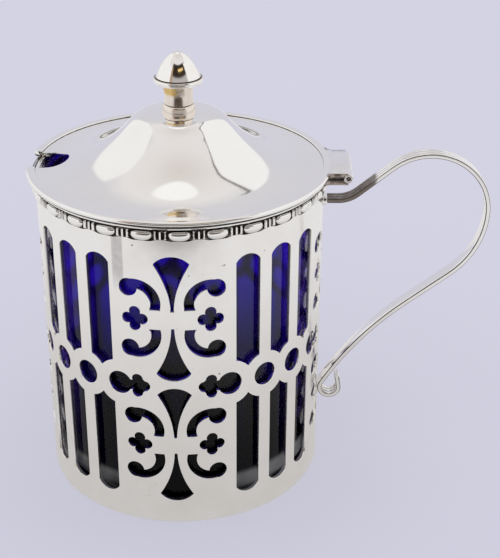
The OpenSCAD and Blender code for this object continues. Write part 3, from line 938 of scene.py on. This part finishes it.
def round_normals(drum):
    """Both faces of the rolled sheet mirror as a true cylinder does."""
    square_on = 0.995
    mesh = drum.data
    normals = [None] * len(mesh.loops)
    corner = mesh.corner_normals
    for face in mesh.polygons:
        out = Vector((face.center.x, face.center.y, 0)).normalized()
        lean = face.normal.dot(out)
        for i in face.loop_indices:
            place = mesh.vertices[mesh.loops[i].vertex_index].co
            if abs(lean) > square_on:
                normals[i] = Vector((place.x, place.y, 0)).normalized() * (1 if lean > 0 else -1)
            else:
                normals[i] = Vector(corner[i].vector)
    mesh.normals_split_custom_set(normals)


drum = make_drum()
finish_piece(drum, "pot", ["pierced_drum"], drum_silver)
round_normals(drum)


# The border of eggs and bars


def smooth_step(low, high, x):
    t = min(max((x - low) / (high - low), 0), 1)
    return t * t * (3 - 2 * t)


def border_relief(x, z, pitch):
    """How far the border stands out of the drum at a place along one repeat, with the egg in the middle."""
    up = z - drum_h + border_h
    stands_out = 0
    egg_side = (up - egg_rise) / (egg_up if up > egg_rise else egg_down)
    egg = (abs(x / egg_half_l) ** egg_full + abs(egg_side) ** egg_full) ** (1 / egg_full)
    if egg < 1:
        stands_out = egg_relief * (1 - egg ** egg_crown_full) ** 0.5
    for step in (0, bar_step):
        bar = abs(pitch / 2 - step - abs(x)) / bar_half
        if bar < 1 and bar_foot < up < bar_head:
            ends = min(smooth_step(bar_foot, bar_foot + bar_foot_ease, up),
                       1 - smooth_step(bar_head - bar_head_ease, bar_head, up))
            stands_out = max(stands_out, bar_relief * (1 - bar ** 2) ** 0.5 * ends)
    fillet = smooth_step(fillet_low, fillet_high, up)
    fillet *= 1 - fillet_fall * smooth_step(fillet_bend, border_h, up)
    return border_ground + max(stands_out, fillet_relief * fillet)


def make_border():
    pitch = 2 * math.pi * drum_r / egg_count
    columns, rows = 56, 34
    recess_deep, recess_clear = 0.30, 0.56
    deselect_all()
    bpy.ops.mesh.primitive_grid_add(x_subdivisions=columns, y_subdivisions=rows, size=1)
    tile = bpy.context.object
    tile.name = "border_repeat"
    low = drum_h - border_h
    recess = tile.data.attributes.new("recess", "FLOAT", "POINT")
    for v in tile.data.vertices:
        x = v.co.x * pitch
        row = round((v.co.y + 0.5) * rows)
        foot = low + scallop_h * smooth_step(scallop_start, scallop_end, abs(x))
        if row == 0:
            z, out = foot, seam
        elif row == rows:
            z, out = drum_h, seam
        else:
            z = foot + (drum_h - foot) * (row - 1) / (rows - 2)
            out = border_relief(x, z, pitch)
            if row == 1:
                out = border_lip
        recess.data[v.index].value = 1 - smooth_step(recess_deep, recess_clear, out)
        turn = x / drum_r
        v.co = ((drum_r + out) * math.cos(turn), (drum_r + out) * math.sin(turn), z)
    tile.rotation_euler = (0, 0, math.radians(first_egg - 90))
    fix_place(tile)
    edit_all(tile)
    bpy.ops.mesh.spin(steps=egg_count, dupli=True, angle=2 * math.pi, center=(0, 0, 0), axis=(0, 0, 1))
    bpy.ops.mesh.select_all(action="SELECT")
    bpy.ops.mesh.remove_doubles(threshold=0.004)
    bpy.ops.mesh.select_mode(type="EDGE")
    bpy.ops.mesh.select_all(action="DESELECT")
    bpy.ops.mesh.select_non_manifold()
    bpy.ops.mesh.bridge_edge_loops()
    bpy.ops.mesh.select_all(action="SELECT")
    bpy.ops.mesh.normals_make_consistent(inside=False)
    bpy.ops.mesh.select_mode(type="VERT")
    leave_edit()
    tile.name = "border"
    return tile


border = make_border()
finish_piece(border, "pot", ["rim_border"], border_silver, 50)


# The lid


def lid_face(depth, top, edge_r, edge_slope, shoulder_r):
    """Half outline of a face of the lid: a dome, a shoulder and a hollow sweep down to the flat rim."""
    dome_r = edge_r / math.sin(math.radians(edge_slope))
    drop = dome_r * (1 - math.cos(math.radians(edge_slope)))
    crown_h = top - lid_low - lid_t
    run = flat_r - edge_r + shoulder_r * math.sin(math.radians(edge_slope))
    fall = crown_h - drop + shoulder_r * (1 - math.cos(math.radians(edge_slope)))
    slope = 2 * math.degrees(math.atan(fall / run))
    sweep_r = run / math.sin(math.radians(slope)) - shoulder_r
    crown_c = (0, top - dome_r)
    shoulder_c = ((dome_r - shoulder_r) * math.sin(math.radians(edge_slope)),
                  crown_c[1] + (dome_r - shoulder_r) * math.cos(math.radians(edge_slope)))
    sweep_c = (flat_r, lid_low + lid_t + sweep_r)
    face = arc(crown_c, dome_r - depth, 90, 90 - edge_slope, 20)
    face += arc(shoulder_c, shoulder_r - depth, 90 - edge_slope, 90 - slope, 14)[1:]
    face += arc(sweep_c, sweep_r + depth, 270 - slope, 270, 36)[1:]
    face += [(plate_r, lid_low + lid_t - depth)]
    face[0] = (0, face[0][1])
    return face


def eased(face, reach):
    """The same face with its bends run softly into each other, as planishing leaves them."""
    def height(r):
        r = min(abs(r), face[-1][0])
        for (r_in, z_in), (r_out, z_out) in zip(face, face[1:]):
            if r <= r_out:
                return z_in + (z_out - z_in) * (r - r_in) / max(r_out - r_in, 1e-9)

    out = face[-1][0]
    steps = 110
    soft = []
    for i in range(steps + 1):
        r = out * i / steps
        around = [height(r + reach * k / 6) for k in range(-6, 7)]
        soft.append((r, sum(around) / len(around)))
    return soft


def notch_cutter():
    """A block with the spoon notch's outline: round at its inner end, with a rounded mouth."""
    past, beside, height = 2, 0.4, 14
    half = notch_w / 2
    mouth_y = half + notch_mouth_r
    mouth_x = -math.sqrt(lid_r ** 2 - mouth_y ** 2)
    inner = arc((notch_l - lid_r - half, 0), half, -90, 90, 32)
    mouth = arc((mouth_x + notch_mouth_r, mouth_y), notch_mouth_r, 270, 180, 8)
    upper = mouth + [(mouth_x, mouth_y + beside), (-lid_r - past, mouth_y + beside)]
    lower = [(x, -y) for x, y in upper]
    outline = inner + upper + lower[::-1]
    return drawn_out("notch_cutter", [(x, y, lid_low - past) for x, y in outline], (0, 0, height))


def cut_notch(piece, cutter):
    """Cuts the notch and rounds the edges that the cut leaves."""
    notch_x, notch_y = -20, 5.6
    apply_modifier(piece, "BOOLEAN", operation="DIFFERENCE", object=cutter, solver="EXACT")
    edit_all(piece)
    bpy.ops.mesh.remove_doubles(threshold=0.004)
    bpy.ops.mesh.select_all(action="DESELECT")
    bpy.ops.mesh.select_mode(type="EDGE")
    bpy.ops.mesh.edges_select_sharp(sharpness=math.radians(50))
    leave_edit()
    mesh = piece.data
    for e in mesh.edges:
        if e.select:
            ends = [mesh.vertices[i].co for i in e.vertices]
            e.select = all(p.x < notch_x and abs(p.y) < notch_y for p in ends)
    bpy.ops.object.mode_set(mode="EDIT")
    bpy.ops.mesh.bevel(offset=notch_edge, segments=2, affect="EDGES", clamp_overlap=True)
    bpy.ops.mesh.select_mode(type="VERT")
    leave_edit()


cutter = notch_cutter()
lid_top = eased(lid_face(0, dome_top, dome_edge_r, dome_slope, dome_shoulder_r), dome_ease)
lid_under = lid_face(lid_t, crown_top, hollow_edge_r, hollow_slope, hollow_shoulder_r)
lid_plate = turned("lid_sheet", lid_top + lid_under[::-1], 192)
cut_notch(lid_plate, cutter)
finish_piece(lid_plate, "lid", ["lid_plate"], lid_silver, 40)

rim_in, rim_edge = lid_r - rim_w, rim_h / 2
rim_outline = [(rim_in, lid_low), (rim_in, lid_low + rim_h - rim_corner)]
rim_outline += arc((rim_in + rim_corner, lid_low + rim_h - rim_corner), rim_corner, 180, 90, 5)[1:]
rim_outline += arc((lid_r - rim_edge, lid_low + rim_edge), rim_edge, 90, -90, 14)
lid_rim = turned("lid_edge_wire", rim_outline, 192, True)
cut_notch(lid_rim, cutter)
finish_piece(lid_rim, "lid", ["lid_rim"], rim_silver, 40)
bpy.data.objects.remove(cutter)


# The finial


def finial_outline():
    """Half outline from the stud's end up: stud, round foot, hollow neck, half-round flange and full knop."""
    knop_low = neck_high + flange_t
    stud_low = crown_top - lid_t - stud_out
    outline = [(0, stud_low), (stud_r - stud_chamfer, stud_low), (stud_r, stud_low + stud_chamfer),
               (stud_r, finial_low)]
    for i in range(15):
        t = math.radians(80 * i / 14)
        outline.append((foot_d / 2 - foot_round * (1 - math.cos(t)),
                        finial_low + (foot_h - turned_line) * math.sin(t)))
    outline.append((neck_low_d / 2 - foot_line_in, neck_low - foot_line_down))
    for i in range(17):
        t = i / 16
        neck_d = neck_low_d + (neck_top_d - neck_low_d) * t ** 4
        outline.append((neck_d / 2 - neck_hollow * math.sin(math.pi * t),
                        neck_low + turned_line + (neck_h - turned_line) * t))
    outline += arc((flange_d / 2 - flange_t / 2, neck_high + flange_t / 2), flange_t / 2, -90, 55, 16)
    outline.append((knop_d / 2 - knop_line_in, knop_low - knop_line_down))
    for i in range(41):
        t = math.pi / 2 * i / 40
        outline.append((knop_d / 2 * math.cos(t), knop_low + knop_h * math.sin(t) ** (2 / knop_full)))
    outline[-1] = (0, knop_low + knop_h)
    return outline


finial = turned("finial_turned", finial_outline(), 96)
finish_piece(finial, "lid", ["finial"], finial_silver, 40)


# The glass liner


def liner_outline():
    lip = liner_wall / 2
    inner_heel = liner_heel - liner_wall
    floor = liner_low + liner_floor
    outline = [(0, liner_low)]
    outline += arc((liner_r - liner_heel, liner_low + liner_heel), liner_heel, -90, 0, 20)
    outline += arc((liner_r - lip, liner_top - lip), lip, 0, 180, 16)
    outline += arc((liner_r - liner_heel, floor + inner_heel), inner_heel, 0, -90, 16)
    outline += [(0, floor)]
    return outline


liner = turned("liner_glass", liner_outline(), 128)
finish_piece(liner, "liner", ["glass_liner"], cobalt_glass, 40)


# The handle


reed_steps = 10


def strap_section():
    """Across the strap: three round reeds outside and a flat inner face with soft corners."""
    half_w, half_t, reed = strap_w / 2, strap_t / 2, strap_w / 3
    reed_r = reed * reed_fullness
    rise = math.sqrt(reed_r ** 2 - (reed / 2) ** 2)
    half_turn = math.degrees(math.asin(reed / 2 / reed_r))
    points = []
    for i in (-1, 0, 1):
        points += arc((i * reed, half_t - reed_r), reed_r, 90 + half_turn, 90 - half_turn,
                      reed_steps)[0 if i == -1 else 1:]
    edge = half_t - reed_r + rise - reed_edge
    corner_x, corner_y = half_w - strap_corner, strap_corner - half_t
    points += [(half_w, edge)]
    points += arc((corner_x, corner_y), strap_corner, 0, -90, 4)
    points += arc((-corner_x, corner_y), strap_corner, -90, -180, 4)
    points += [(-half_w, edge)]
    return points


# The strap's middle line: stem, rise, ramp, upper loop, heel, run, fall, curl and tip, all tangent
stem_x, stem_z = drum_r + pad_t + seam, drum_h - stem_drop
loop_c = Vector((drum_r + handle_reach - strap_t / 2 - loop_r, 0, drum_h - loop_drop))
heel_c = loop_c + Vector((loop_r - heel_r, 0, 0))
rise_far_x = loop_c.x - math.sqrt((rise_r + loop_r) ** 2 - (stem_z + rise_r - loop_c.z) ** 2)
rise_c = Vector((max(stem_x, rise_far_x - ramp_back), 0, stem_z + rise_r))
rise_to_loop = loop_c - rise_c
rise_turn = math.degrees(math.atan2(rise_to_loop.z, rise_to_loop.x)
                         + math.asin((rise_r + loop_r) / rise_to_loop.length))
ramp_l = math.sqrt(rise_to_loop.length_squared - (rise_r + loop_r) ** 2)
curl_c = Vector((drum_r + seam + strap_t / 2 + curl_r, 0, curl_z))
curl_to_heel = heel_c - curl_c
run_slope = math.degrees(math.atan2(curl_to_heel.z, curl_to_heel.x)
                         - math.asin((heel_r + curl_r) / curl_to_heel.length)) - run_bow


def way_on(angle):
    """The way along the strap's plane at an angle from +X, upwards."""
    return Vector((math.cos(math.radians(angle)), 0, math.sin(math.radians(angle))))


def straight_on(way, length):
    """Carries the strap's end straight on."""
    bpy.ops.mesh.extrude_region_move(TRANSFORM_OT_translate={"value": way * length})


def sweep_on(angle, centre, reach):
    """Carries the strap's end on round a bend; a positive angle turns left, seen from the front."""
    fineness = 3.2
    steps = max(4, int(math.radians(abs(angle)) * math.sqrt(reach) * fineness))
    bpy.ops.mesh.spin(steps=steps, angle=math.radians(angle), center=centre, axis=(0, 1, 0))


def make_strap():
    section = [(stem_x, y, stem_z + out) for y, out in strap_section()]
    strap = wire_piece("strap", section, True)
    groove_and_edge_shade = strap.data.attributes.new("groove_and_edge_shade", "FLOAT", "POINT")
    # The corners of the inner face are marked too, for a painted dark line of shade along them.
    inner_corners = tuple(3 * reed_steps + i for i in (3, 4, 5, 8, 9, 10))
    for i in (0, reed_steps, 2 * reed_steps, 3 * reed_steps) + inner_corners:
        groove_and_edge_shade.data[i].value = 1
    edit_all(strap)
    bpy.ops.mesh.edge_face_add()
    straight_on(way_on(0), rise_c.x - stem_x)
    sweep_on(rise_turn, rise_c, rise_r)
    straight_on(way_on(rise_turn), ramp_l)
    sweep_on(-rise_turn - 90, loop_c, loop_r)
    sweep_on(run_slope - 90, heel_c, heel_r)
    straight_on(way_on(run_slope + 180), run_l)
    left = way_on(run_slope - 90)
    run_end = heel_c + heel_r * left + run_l * way_on(run_slope + 180)
    way = run_end - curl_c
    fall_r = (curl_r ** 2 - way.dot(way)) / (2 * (way.dot(left) + curl_r))
    fall_c = run_end + fall_r * left
    to_curl = curl_c - fall_c
    fall_end = math.degrees(math.atan2(to_curl.z, to_curl.x))
    if fall_end < 0:
        fall_end += 360
    sweep_on(fall_end - run_slope - 90, fall_c, fall_r)
    sweep_on(curl_tip + 270 - fall_end, curl_c, curl_r)
    straight_on(way_on(curl_tip), tip_l - tip_edge)
    bpy.ops.mesh.inset(thickness=tip_edge, depth=tip_edge)
    leave_edit()
    merge_and_face_out(strap)
    return strap


strap = make_strap()
finish_piece(strap, "pot", ["handle_strap"], handle_silver, 40)


def flat_block(name, outline, low, height):
    """A flat outline drawn up to a height."""
    return drawn_out(name, [(x, y, low) for x, y in outline], (0, 0, height))


def make_pad():
    """The small plate between the drum and the strap's upper end, bent to the drum."""
    half = math.degrees(math.asin(pad_w / 2 / drum_r))
    outline = arc((0, 0), drum_r + pad_t, -half, half, 12) + arc((0, 0), drum_r - pad_sunk, half, -half, 12)
    pad = flat_block("pad", outline, stem_z - pad_h / 2, pad_h)
    soften(pad, pad_edge, 3)
    return pad


def make_curl_solder():
    """The hollow seams of solder where the curl's back touches the drum, above and below."""
    back_r = curl_r + strap_t / 2
    half_w = strap_w / 2 - solder_in
    strips = []
    for up in (-1, 1):
        start = curl_z + up * seam
        touch = [(drum_r - solder_sunk, start), (curl_c.x - back_r + solder_sunk, start)]
        on_curl = arc((curl_c.x, curl_z), back_r - solder_sunk, 180, 180 - up * solder_turn, 8)
        reach = on_curl[-1][1] + up * solder_up
        hollow = [(drum_r + solder_hollow_x, reach - up * solder_hollow_z), (drum_r - solder_sunk, reach)]
        outline = touch + on_curl[1:] + hollow
        points = [(x, -half_w, z) for x, z in outline]
        strips.append(drawn_out("solder_strip", points, (0, 2 * half_w, 0)))
    solder = join(strips, "curl_solder")
    soften(solder, solder_edge, 2)
    merge_and_face_out(solder)
    return solder


finish_piece(make_pad(), "pot", ["handle_pad"], hinge_silver, 40)
finish_piece(make_curl_solder(), "pot", None, handle_silver, 40)


# The hinge


def bar_along_pin(name, radius, length, y):
    """A plain round bar along the hinge's pin, used to cut room for a knuckle."""
    deselect_all()
    bpy.ops.mesh.primitive_cylinder_add(vertices=48, radius=radius, depth=length, location=(pin_x, y, pin_z),
                                        rotation=(math.pi / 2, 0, 0))
    bar = bpy.context.object
    bar.name = name
    fix_place(bar)
    return bar


def hinge_leaf(name, wall_r, low, thickness, own, others):
    """A flat leaf from a round wall to the pin, with hollow corners at the wall and room for the knuckles."""
    sunk_r = wall_r - leaf_sunk
    half = hinge_w / 2
    wide = half + leaf_corner_r
    corner_x = math.sqrt(wall_r ** 2 - wide ** 2) + leaf_corner_r
    wall_turn = math.degrees(math.asin(wide / sunk_r))
    corner = arc((corner_x, wide), leaf_corner_r, 180, 270, 10)
    outline = arc((0, 0), sunk_r, -wall_turn, wall_turn, 20) + corner + [(pin_x, half), (pin_x, -half)]
    outline += [(x, -y) for x, y in corner[::-1]]
    leaf = flat_block(name, outline, low, thickness)
    room_l = knuckle_l + 2 * hinge_gap
    bars = [bar_along_pin("room", knuckle_r - leaf_in_knuckle, room_l, y) for y in own]
    bars += [bar_along_pin("room", knuckle_r + hinge_gap, room_l, y) for y in others]
    for bar in bars:
        apply_modifier(leaf, "BOOLEAN", operation="DIFFERENCE", object=bar, solver="EXACT")
        bpy.data.objects.remove(bar)
    merge_and_face_out(leaf)
    soften(leaf, leaf_edge, 2)
    merge_and_face_out(leaf)
    return leaf


def make_knuckle(name):
    """A short tube with half-round ends, upright at the origin."""
    bore = pin_r + pin_gap
    half_wall = (knuckle_r - bore) / 2
    end = knuckle_l / 2 - half_wall
    outline = arc((bore + half_wall, -end), half_wall, -180, 0, 10)
    outline += arc((bore + half_wall, end), half_wall, 0, 180, 10)
    return turned(name, outline, 48, True)


def laid_on_pin(piece, name, y):
    """A copy of an upright turned piece, laid along the hinge's pin."""
    copy = own_copy(piece, name)
    copy.rotation_euler = (math.pi / 2, 0, 0)
    copy.location = (pin_x, y, pin_z)
    fix_place(copy)
    return copy


def make_pin():
    half = pin_l / 2
    end_x, end_y = pin_r - pin_end_r, half - pin_end_r
    outline = [(0, -half)] + arc((end_x, -end_y), pin_end_r, -90, 0, 5)
    outline += arc((end_x, end_y), pin_end_r, 0, 90, 5) + [(0, half)]
    return turned("pin", outline, 32)


knuckle_step = knuckle_l + hinge_gap
end_knuckles = [-knuckle_step, knuckle_step]
lid_leaf = hinge_leaf("lid_leaf", lid_r, lid_low, rim_h, [0], end_knuckles)
finish_piece(lid_leaf, "lid", ["lid_hinge_leaf"], hinge_silver, 40)
body_leaf = hinge_leaf("body_leaf", border_r, drum_h - body_leaf_t, body_leaf_t, end_knuckles, [0])
finish_piece(body_leaf, "pot", ["body_hinge_leaf"], hinge_silver, 40)
knuckle = make_knuckle("knuckle")
for name, y, body, node, finish_slot in (
        ("knuckle_lid", 0, "lid", "lid_knuckle", "lid_silver"),
        ("knuckle_front", -knuckle_step, "pot", "body_knuckle_front", "body_silver"),
        ("knuckle_back", knuckle_step, "pot", "body_knuckle_back", "body_silver")):
    finish_piece(laid_on_pin(knuckle, name, y), body, [node], knuckle_silver, 40)
bpy.data.objects.remove(knuckle)
pin = make_pin()
finish_piece(laid_on_pin(pin, "pin_in_hinge", 0), "pot", ["hinge_pin"], pin_silver, 40)
bpy.data.objects.remove(pin)


# Solids that are shown as they are

for name, finish in (("base_plate", base_silver), ("finial_nut", finial_silver)):
    solid = nodes[name]
    solid.data.materials.clear()
    solid.data.materials.append(finish)


# The light tent: a pale table, two bright side walls, a lavender back, a warm roof with an oval lamp,
# and the dark opening in front. Ways in the tent are given by azimuth, from the back towards the handle,
# and elevation, in degrees.


def glowing(tree, tone):
    """A surface that shines in a tone of its own."""
    glow = add_node(tree, "ShaderNodeEmission")
    feed(tree, glow.inputs["Color"], tone)
    return glow.outputs["Emission"]


def either(tree, share, first, second):
    """One shader, or another by a share."""
    mix = add_node(tree, "ShaderNodeMixShader")
    for socket, value in zip(mix.inputs, (share, first, second)):
        tree.links.new(value, socket)
    return mix.outputs["Shader"]


def make_table():
    """Pale paper, which silver mirrors as a glowing sheet with a painted shadow by the pot, growing brighter
    away from it, and a painted dark end in front.
    """
    paper_low, paper_high, paper_seen = (0.665, 0.66, 0.77), (0.695, 0.69, 0.80), (0.655, 0.65, 0.755)
    by_pot, out_from_pot, far_off = (0.60, 0.585, 0.575), (0.82, 0.81, 0.81), (0.64, 0.635, 0.72)
    front_dark = (0.05, 0.032, 0.022)
    deselect_all()
    bpy.ops.mesh.primitive_plane_add(size=6, location=(0, 0, 0))
    table = bpy.context.object
    table.name = "table"
    finish, tree, shader = shader_graph("table_paper")
    paper = blend(tree, noise(tree, 6), paper_low, paper_high)
    for label, value in (("Base Color", paper), ("Roughness", 0.9), ("Specular IOR Level", 0.1)):
        feed(tree, shader.inputs[label], value)

    x, y, _, reach = place_parts(tree)
    # Painted shadow: the mirrored sheet is darker by the pot.
    mirrored = blend(tree, soft_step(tree, reach, 0.028, 0.15), by_pot, out_from_pot)
    mirrored = blend(tree, soft_step(tree, reach, 0.25, 0.90), mirrored, far_off)
    # Painted shade: the mirrored sheet goes dark far in front of the pot.
    ahead = calc(tree, "MULTIPLY", y, -1)
    aside = calc(tree, "ABSOLUTE", calc(tree, "DIVIDE", x, calc(tree, "MAXIMUM", ahead, 0.01)))
    front_end = all_of(tree, soft_step(tree, ahead, 0.146, 0.178), soft_step(tree, aside, 0.85, 0.55))
    mirrored = blend(tree, front_end, mirrored, front_dark)

    ray = add_node(tree, "ShaderNodeLightPath").outputs
    seen = either(tree, calc(tree, "MULTIPLY", ray["Is Camera Ray"], 0.5), shader.outputs["BSDF"],
                  glowing(tree, paper_seen))
    feed(tree, tree.nodes["Material Output"].inputs["Surface"],
         either(tree, ray["Is Glossy Ray"], seen, glowing(tree, mirrored)))
    table.data.materials.append(finish)


def rounded_top(tree, azimuth, peak, drop, start, run):
    """The upper edge of a wall: level at its peak, and falling in a curve from an azimuth on."""
    share = calc(tree, "DIVIDE", calc(tree, "SUBTRACT", azimuth, start), run, clamp=True)
    return calc(tree, "SUBTRACT", peak, calc(tree, "MULTIPLY", calc(tree, "MULTIPLY", share, share), drop))


def between(tree, value, low, low_soft, high, high_soft):
    """1 between two limits, each with its own soft edge inwards, in degrees."""
    return all_of(tree, soft_step(tree, value, low, low + low_soft),
                  soft_step(tree, value, high, high - high_soft))


def cloth_by_height(tree, elevation):
    """The tent's cloth from the table's level to straight above."""
    ramp = add_node(tree, "ShaderNodeValToRGB")
    stops = ramp.color_ramp.elements
    stops[0].position, stops[1].position = 0.0, 1.0
    stops[0].color = (0.66, 0.66, 0.75, 1)
    stops[1].color = (0.70, 0.655, 0.625, 1)
    for height, tone in ((0.30, (0.66, 0.655, 0.70)), (0.46, (0.68, 0.67, 0.695)),
                         (0.59, (0.81, 0.785, 0.785)), (0.74, (0.79, 0.76, 0.745))):
        stops.new(height).color = (*tone, 1)
    tree.links.new(calc(tree, "DIVIDE", elevation, 90), ramp.inputs["Fac"])
    return ramp.outputs["Color"]


def left_wall(tree, azimuth, elevation):
    """The white wall on the left, with both its upper corners rounded."""
    from_right = calc(tree, "MULTIPLY", azimuth, -1)
    top = calc(tree, "MINIMUM", rounded_top(tree, azimuth, 54.5, 12, -70, 37),
               rounded_top(tree, from_right, 54.5, 11, 80, 24))
    return all_of(tree, soft_step(tree, azimuth, -31.5, -34.5), soft_step(tree, azimuth, -146, -140),
                  soft_step(tree, calc(tree, "SUBTRACT", elevation, top), 1.5, -1.5))


def right_wall(tree, azimuth, elevation):
    """The white wall on the right, leaning in as it rises, and the dark seam along its top."""
    from_left = calc(tree, "MULTIPLY", azimuth, -1)
    lean = calc(tree, "POWER", calc(tree, "MAXIMUM", elevation, 0), 3)
    edge = calc(tree, "MULTIPLY_ADD", lean, -0.000216, 30)
    top = calc(tree, "MINIMUM", rounded_top(tree, from_left, 63, 20, -58, 44),
               rounded_top(tree, azimuth, 63, 14, 65, 38))
    past_top = calc(tree, "SUBTRACT", elevation, top)
    side = all_of(tree, soft_step(tree, calc(tree, "SUBTRACT", azimuth, edge), -1, 1),
                  soft_step(tree, azimuth, 132, 126))
    off_seam = calc(tree, "ABSOLUTE", calc(tree, "SUBTRACT", past_top, 1.1))
    return (all_of(tree, side, soft_step(tree, past_top, 0.5, -0.5)),
            all_of(tree, side, soft_step(tree, off_seam, 1.1, 0.5)))


def oval_lamp(tree, x, y, z):
    """The oval lamp in the roof, seen in its own plane."""
    turn, rise = math.radians(-8), math.radians(67)
    half_across, half_along = math.radians(7.4), math.radians(12.0)
    across = calc(tree, "MULTIPLY_ADD", x, math.cos(turn), calc(tree, "MULTIPLY", y, -math.sin(turn)))
    ahead = calc(tree, "MULTIPLY_ADD", x, math.sin(turn), calc(tree, "MULTIPLY", y, math.cos(turn)))
    along = calc(tree, "MULTIPLY_ADD", ahead, -math.sin(rise), calc(tree, "MULTIPLY", z, math.cos(rise)))
    u = calc(tree, "DIVIDE", across, math.sin(half_across))
    v = calc(tree, "DIVIDE", along, math.sin(half_along))
    off = calc(tree, "ADD", calc(tree, "MULTIPLY", u, u), calc(tree, "MULTIPLY", v, v))
    off = calc(tree, "ADD", off, soft_step(tree, z, 0.3, 0.1))
    return soft_step(tree, off, 1.25, 0.75)


def make_tent():
    left_white, right_white, seam_dark = (0.90, 0.895, 0.885), (0.91, 0.905, 0.90), (0.20, 0.19, 0.18)
    lamp_white, front_grey, opening_dark = (0.97, 0.965, 0.955), (0.47, 0.45, 0.44), (0.034, 0.024, 0.017)
    spot_gold, edge_brown, plain_light = (0.95, 0.66, 0.26), (0.42, 0.27, 0.17), (0.97, 0.97, 1.0)
    scene.world = bpy.data.worlds.new("tent_cloth")
    scene.world.use_nodes = True
    tree = scene.world.node_tree
    split = add_node(tree, "ShaderNodeSeparateXYZ")
    tree.links.new(add_node(tree, "ShaderNodeTexCoord").outputs["Generated"], split.inputs["Vector"])
    x, y, z = split.outputs
    azimuth = calc(tree, "DEGREES", calc(tree, "ARCTAN2", x, y))
    elevation = calc(tree, "DEGREES", calc(tree, "ARCSINE", z))

    right, right_seam = right_wall(tree, azimuth, elevation)
    front = calc(tree, "ADD", soft_step(tree, azimuth, -136, -142), soft_step(tree, azimuth, 121, 127))
    low_front = all_of(tree, front, soft_step(tree, elevation, 40, 34))
    opening = all_of(tree, front, between(tree, elevation, 31, 3, 55, 3))
    warm_spot = all_of(tree, between(tree, azimuth, 136, 4, 178, 4),
                       between(tree, elevation, 40, 1.5, 46, 1.5))
    warm_edge = all_of(tree, between(tree, azimuth, -150, 3, -136, 4), between(tree, elevation, 8, 4, 48, 8))
    ray = add_node(tree, "ShaderNodeLightPath").outputs
    cloth = cloth_by_height(tree, elevation)
    for mask, tone in ((left_wall(tree, azimuth, elevation), left_white), (right, right_white),
                       (right_seam, seam_dark), (oval_lamp(tree, x, y, z), lamp_white),
                       (low_front, front_grey), (opening, opening_dark), (warm_spot, spot_gold),
                       (warm_edge, edge_brown), (ray["Is Diffuse Ray"], plain_light)):
        cloth = blend(tree, mask, cloth, tone)
    back = tree.nodes["Background"]
    tree.links.new(cloth, back.inputs["Color"])
    back.inputs["Strength"].default_value = 1


make_table()
make_tent()


# The camera, at the photograph's place

camera_place = (0.016858, -0.230644, 0.158479)
camera_turn = (62.92, -0.246, 0.850)

camera = bpy.data.cameras.new("view")
camera.lens = 80.70
camera.sensor_width = 36
camera.clip_start = 0.01
viewer = bpy.data.objects.new("view", camera)
scene.collection.objects.link(viewer)
viewer.location = camera_place
viewer.rotation_euler = [math.radians(turn) for turn in camera_turn]
scene.camera = viewer
